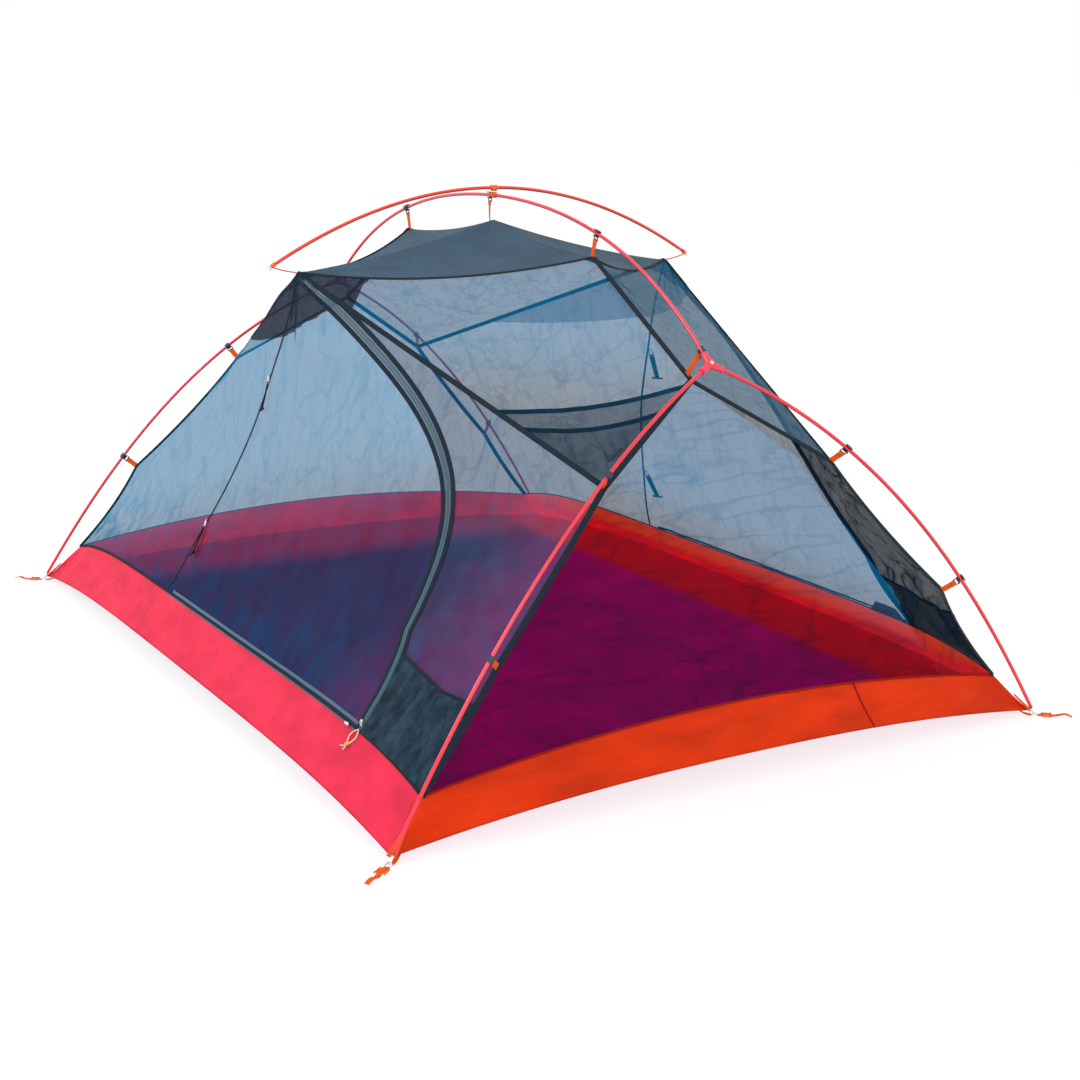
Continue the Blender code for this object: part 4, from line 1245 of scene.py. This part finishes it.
def hook_part(reach, place):
    """The clip's hook, faced in strips so that its curve stays open."""
    profile = hook_profile(reach)
    half = len(profile) // 2
    inner, outer = profile[:half], profile[half:][::-1]
    count = min(len(inner), len(outer))
    points, faces = [], []
    deep = 0.0068
    for near, far in zip(inner, outer):
        points += [(*near, -deep), (*far, -deep), (*far, deep), (*near, deep)]
    for i in range(count - 1):
        for k in range(4):
            j = (k + 1) % 4
            faces.append((i * 4 + k, i * 4 + j, i * 4 + 4 + j, i * 4 + 4 + k))
    faces.append((3, 2, 1, 0))
    faces.append(tuple(4 * (count - 1) + k for k in range(4)))
    return [tuple(place @ Vector(p)) for p in points], faces, [(p[0], p[2]) for p in points]


def loop_frame(place, near, far, wide):
    """The thin wire-like frame between the hook and the webbing."""
    corners = [(0, near, -wide), (0, far, -wide), (0, far, wide), (0, near, wide)]
    parts = []
    for a, b in zip(corners, corners[1:] + corners[:1]):
        a, b = Vector(a), Vector(b)
        grow = (b - a).normalized() * 0.0009
        line = [place @ (a - grow), place @ (b + grow)]
        parts.append(sweep(line, 0.0020, 0.0020, place.to_3x3() @ Vector((1, 0, 0)), 8, 0.8))
    return parts


def dress_clip(name, canopy, pole_at, way, tab_wide=0.0140, taper=1.0):
    """A clip between the canopy and a pole: a black hook with a wire-like frame, and a folded orange tab."""
    place, reach = clip_place(canopy, pole_at, way)
    far = reach - 0.0150
    hook = [hook_part(reach, place), *loop_frame(place, far, reach - 0.0082, 0.0072)]
    piece(f"{name}_hook", hook, "clip", name, (name,), smooth=False)
    line, wide = [], []
    for share in steps(14):
        y = -0.004 + (far + 0.0022 + 0.004) * share
        bow = 0.0012 * math.sin(math.pi * share)
        line.append(place @ Vector((bow, y, 0)))
        wide.append(tab_wide * (taper + (1 - taper) * share))
    out = place.to_3x3() @ Vector((1, 0, 0))
    parts = [tape(line, wide, 0.0016, out, square=0.5)]
    fold = [place @ Vector((0.0021, y, 0)) for y in steps(5, far - 0.009, far + 0.0018)]
    parts.append(tape(fold, tab_wide * 0.98, 0.0013, out, square=0.5))
    piece(f"{name}_webbing", parts, "orange", name)


CENTRE_CLIP_X = -0.0175


def make_clips():
    apex = Vector((CENTRE_CLIP_X, 0, APEX_Z))
    dress_clip("clip_centre", apex, ridge_point(CENTRE_CLIP_X), ridge_way(CENTRE_CLIP_X), 0.0095, taper=0.35)
    for end_name, end in ENDS:
        for label, corner, x in (("ridge", RIDGE_END, 0.451), ("hub", HUB_CORNER, 0.8478)):
            at, way = mirrored(ridge_point(x), end), mirrored(ridge_way(x), end)
            dress_clip(f"clip_{label}_{end_name}", mirrored(corner, end), at, way)
        for side_name, side in SIDES:
            for level, corner, share in (("upper", UPPER_CLIP, LEG_CLIPS[0]), ("lower", LOWER_CLIP, LEG_CLIPS[1])):
                at, way = mirrored(leg_point(share), end, side), mirrored(leg_way(share), end, side)
                dress_clip(f"clip_{level}_{side_name}_{end_name}", mirrored(corner, end, side), at, way)


def make_connector():
    """The centre connector: a strap-like upper half round the cross pole, a lower half round the ridge pole."""
    top, low = CROSS_TOP, RIDGE_TOP
    along = (-0.0088, -0.0082, -0.0050, -0.0046, 0.0046, 0.0050, 0.0082, 0.0088)
    wide = (0.0112, 0.0124, 0.0124, 0.0114, 0.0114, 0.0124, 0.0124, 0.0112)
    for level, line, tall, shift, body in (
        ("upper", [(0, y, top + 0.0002) for y in along], 0.0070, 0.0045, "cross_pole"),
        ("lower", [(x, 0, low) for x in along], 0.0062, -0.0045, "tent"),
    ):
        parts = [sweep(line, wide, None, (0, 0, 1), 24)]
        parts.append(block((0.0112, 0.0112, tall), Matrix.Translation((0, 0, (top + low) / 2 + shift)), 0.15))
        piece(f"connector_{level}", parts, "connector", body, (f"swivel_{level}",))


CORD = 0.0028


def make_awning():
    """A ball and hook at each end of the cross pole, and its elastic cord to the awning point."""
    for name, side in SIDES:
        tip = mirrored(cross_point(-CROSS_HALF), 1, side)
        way = Vector((0, -side, -2 * CROSS_BEND * CROSS_HALF)).normalized()
        centre = tip + way * 0.0062
        profile = [centre + way * d for d in (-0.0062, -0.0060, -0.0042, -0.0020, 0.0, 0.0022, 0.0042, 0.0056, 0.0060)]
        wide = (0.0086, 0.0096, 0.0100, 0.0100, 0.0098, 0.0092, 0.0070, 0.0040, 0.0010)
        parts = [sweep(profile, wide, None, (1, 0, 0), 18)]
        ring = []
        for a in steps(16, 0, 2 * math.pi):
            turn = Vector((0, -side * 0.0030 * math.cos(a) - side * 0.002, 0.0036 * math.sin(a) - 0.0036))
            ring.append(centre + way * 0.0035 + turn)
        parts.append(sweep(ring, 0.0016, None, (1, 0, 0), 8))
        piece(f"awning_ball_{name}", parts, "connector", "cross_pole")
        corner = mirrored(AWNING, 1, side) + Vector((0, -side * 0.004, 0.0015))
        start = centre + Vector((0, side * 0.001, -0.0052))
        line = []
        for share in steps(18):
            p = start.lerp(corner, share)
            p.z -= 0.0016 * math.sin(math.pi * share)
            line.append(p)
        shape, nodes = sweep(line, CORD, None, (1, 0, 0), 10), (f"awning_cord_{name}",)
        cord = piece(f"awning_line_{name}", [shape], "orange", "cross_pole", nodes)


# ---------------------------------------------------------------- corners on the ground

STRAP_WAY = Vector((0.6, 0.8, 0.0))
TAB_STOPS = ((-0.034, 0, 0.012), (-0.024, 0, 0.0060), (-0.014, 0, 0.0034), (-0.0075, 0, 0.0026))
STRAP_STOPS = (
    (0.0190, 0, 0.0056), (0.0262, 0, 0.0062), (0.0345, 0, 0.0048), (0.0460, 0.0010, 0.0026),
    (0.0570, 0.0022, 0.0042), (0.0680, 0.0012, 0.0072), (0.0790, -0.0012, 0.0048), (0.0845, -0.0022, 0.0024),
)


def make_corners():
    """At each corner: webbing and a ring on the tent, and a ladder lock with its strap that can swing on them."""
    for side_name, side in SIDES:
        for end_name, end in ENDS:
            label = f"{side_name}_{end_name}"
            corner = Vector((end * 1.075, -side * 0.825, 0))
            way = Vector((end * STRAP_WAY.x, -side * STRAP_WAY.y, 0))
            turn = Matrix.Rotation(math.atan2(way.y, way.x), 4, "Z")
            place = Matrix.Translation(corner) @ turn
            top = Vector((end * TUB_X, -side * TUB_Y, TUB_CORNER_Z))
            foot = Vector((end * FOOT_X, -side * FOOT_Y, FOOT_Z))
            out = Vector((end * 0.6, -side * 0.6, 0.5)).normalized()
            strip = [top.lerp(foot, share) + out * 0.0022 for share in steps(16, 0.58, 1.0)]
            parts = [tape(strip, [0.010 + 0.010 * s for s in steps(16)], 0.0022, out)]
            tab = [place @ Vector(p) for p in TAB_STOPS]
            parts.append(tape(smooth_line(tab, 12), 0.0150, 0.0022, (0, 0, 1), square=0.5))
            tail = [place @ Vector((x, 0, 0.0026)) for x in (0.0075, 0.0110, 0.0175)]
            parts.append(tape(tail, 0.0120, 0.0022, (0, 0, 1), square=0.5))
            piece(f"corner_webbing_{label}", parts, "orange", "tent", (f"corner_tab_{label}",))
            turns = steps(36, 0, 2 * math.pi)
            ring = [place @ Vector((0.0072 * math.cos(a), 0.0072 * math.sin(a), 0.0030)) for a in turns]
            piece(f"corner_ring_{label}", [sweep(ring, 0.0024, None, (0, 0, 1), 10)], "silver", "tent")
            body = f"stake_strap_{label}"
            bars = []
            for x in (0.0185, 0.0262, 0.0340):
                bars.append(block((0.0030, 0.0200, 0.0034), place @ Matrix.Translation((x, 0, 0.0034)), 0.3))
            for y in (-0.0092, 0.0092):
                bars.append(block((0.0200, 0.0030, 0.0040), place @ Matrix.Translation((0.0262, y, 0.0034)), 0.3))
            for tilt in (-1, 1):
                at = place @ Matrix.Translation((0.0375, tilt * 0.0092 * 1.08, 0.0040))
                bars.append(block((0.0065, 0.0034, 0.0036), at @ Matrix.Rotation(0.35 * tilt, 4, "Z"), 0.3))
            piece(f"ladder_lock_{label}", bars, "connector", body, (body,))
            line = smooth_line([place @ Vector(p) for p in STRAP_STOPS], 36)
            strap = tape(line, 0.0115, 0.0016, (0, 0, 1), square=0.5)
            piece(f"strap_tail_{label}", [strap], "orange", body)


# ---------------------------------------------------------------- sliders, pulls and toggles


def slider_parts(place, long_axis, out):
    """A zip slider: a waisted body and a bridge over it."""
    side = long_axis.cross(out).normalized()
    frame_at = Matrix((long_axis, side, out)).transposed().to_4x4()
    frame_at.translation = place
    line = [frame_at @ Vector((x, 0, -0.0004)) for x in (-0.0072, -0.0064, -0.002, 0.003, 0.0066, 0.0074)]
    parts = [sweep(line, (0.0056, 0.0072, 0.0064, 0.0068, 0.0076, 0.0056), 0.0034, out, 12, 0.7)]
    stops = ((-0.0050, 0.0012), (-0.0030, 0.0032), (0.0030, 0.0032), (0.0050, 0.0012))
    bridge = smooth_line([frame_at @ Vector((x, 0, z)) for x, z in stops], 10)
    parts.append(tape(bridge, 0.0022, 0.0012, out))
    return parts


def lower_slider_place(side):
    return Vector((0.725, -side * (TUB_Y + 0.0098), tub_rise(0.725) + 0.0020))


def upper_slider_place(side):
    x, z = zip_xz(0.012)
    return wall_point(x, z, side) + Vector((0.002, -side * 0.0090, 0))


def make_sliders():
    for name, side in SIDES:
        out = Vector((0, -side, 0.25)).normalized()
        for label, level, place, long_axis in (
            ("low", "lower", lower_slider_place(side), Vector((1, 0, 0))),
            ("high", "upper", upper_slider_place(side), Vector((0.15, 0, 1)).normalized()),
        ):
            body = f"{name}_zip_slider_{level}"
            parts = slider_parts(place, long_axis, out)
            piece(f"{name}_slider_{label}", parts, "silver", body, (body,))


PULL_FRONT = ((0, 0), (-0.010, 0.008), (-0.015, 0.018), (-0.011, 0.029), (-0.004, 0.038), (-0.006, 0.050))
PULL_BACK = ((0.001, 0.001), (0.006, 0.008), (0.0085, 0.017), (0.005, 0.027), (-0.003, 0.036))
PULL_TAIL = ((-0.004, 0.038), (-0.009, 0.042), (-0.015, 0.044), (-0.021, 0.046))


def make_pulls():
    """The cream cord looped through the upper slider and knotted in yellow."""
    slope = Vector((0, TUB_Y - FOOT_Y, tub_rise(ZIP_X) - FOOT_Z - floor_lift_long(ZIP_X))).normalized()
    for name, side in SIDES:
        top = upper_slider_place(side) + Vector((0, -side * 0.0055, -0.0125))
        down = Vector((0, side * slope.y, -slope.z))
        out = Vector((0, -side * 0.7, 0.7))
        body = f"{name}_zip_pull"
        line = smooth_line([top + Vector((x, 0, 0)) + down * d for x, d in PULL_FRONT], 30)
        cord = piece(f"{name}_pull_cord", [sweep(line, CORD, None, out, 10)], "cream", body, (body,))
        extra = []
        for stops, count, thick in ((PULL_BACK, 20, CORD), (PULL_TAIL, 14, 0.0026)):
            route = smooth_line([top + Vector((x, 0, 0)) + down * d + out * 0.0004 for x, d in stops], count)
            extra.append(sweep(route, thick, None, out, 10))
        loop = piece(f"{name}_pull_tails", extra, "cream", body)
        knot_at = top + Vector((-0.004, 0, 0)) + down * 0.0375 + out * 0.0006
        turns = []
        for a in steps(48, -4.5, 4.5):
            here = knot_at + Vector((0.0034 * math.cos(a), 0, 0)) + down * (0.0022 * math.sin(a) + 0.0011 * a / 3)
            turns.append(here + out * 0.0024 * math.sin(2 * a + 0.6))
        shape = sweep(turns, 0.0030, None, (0.3, -side * 0.2, 0.9), 10)
        knot = piece(f"{name}_pull_knot", [shape], "yellow", body)


def make_toggles():
    """Tie-backs for a rolled door: a pale elastic loop, a dark strap and a bar across its end."""
    for side_name, side in SIDES:
        for level, z in (("upper", 0.700), ("lower", 0.330)):
            name = f"{side_name}_toggle_{level}"
            lift = Vector((0, -side * 0.0058, 0))
            top = wall_point(seam_x(z) + 0.006, z, side) + lift
            foot = wall_point(seam_x(z) + 0.012, z - 0.074, side) + lift
            length = (foot - top).length
            down = (foot - top).normalized()
            out = Vector((1, 0, 0)).cross(down).normalized()
            out = out if out.y * side < 0 else -out
            turn = Vector((0.80, -side * 0.60, 0))
            line = [top + down * (length * s) + out * (0.0012 + 0.0060 * s) for s in steps(18, 0.12, 1)]
            flat = down.cross(turn).normalized()
            flat = flat if flat.y * side < 0 else -flat
            parts = [tape(line, [0.0145 - 0.0030 * s for s in steps(18)], 0.0017, flat, square=0.5)]
            bar = [line[-1] + turn * d for d in (-0.0148, -0.0140, -0.006, 0.006, 0.0140, 0.0148)]
            parts.append(sweep(bar, (0.0030, 0.0050, 0.0046, 0.0046, 0.0050, 0.0030), None, out, 12))
            piece(f"{name}_strap", parts, "black_web", name, (name,))
            loop = []
            for a in steps(24, 0, 2 * math.pi):
                here = top + turn * (0.0048 * math.cos(a)) + down * (0.004 - 0.0110 * math.sin(a))
                loop.append(here + out * 0.002)
            piece(f"{name}_loop", [sweep(loop, 0.0030, None, flat, 8)], "silver", "tent")


BUILDERS = (
    make_camera, make_awning, make_pulls, make_light, make_floor, make_tub, make_walls, make_ends, make_upper,
    make_roof, make_tapes, make_zips, make_patches, make_gear_pocket, make_poles, make_hubs, make_clips,
    make_connector, make_corners, make_sliders, make_toggles,
)
for build in BUILDERS:
    build()

# ---------------------------------------------------------------- stage

GROUND_HALF, GROUND_Z = 30, -0.002
ground = bpy.data.meshes.new("ground")
corners = [(x * GROUND_HALF, y * GROUND_HALF, GROUND_Z) for x, y in ((-1, -1), (1, -1), (1, 1), (-1, 1))]
ground.from_pydata(corners, [], [(0, 1, 2, 3)])
ground_object = bpy.data.objects.new("ground", ground)
bpy.context.scene.collection.objects.link(ground_object)
ground.materials.append(new_material("pale_floor", (0.25, 0.25, 0.25), 0.9, gloss=0.0, lit=3.08)[0])
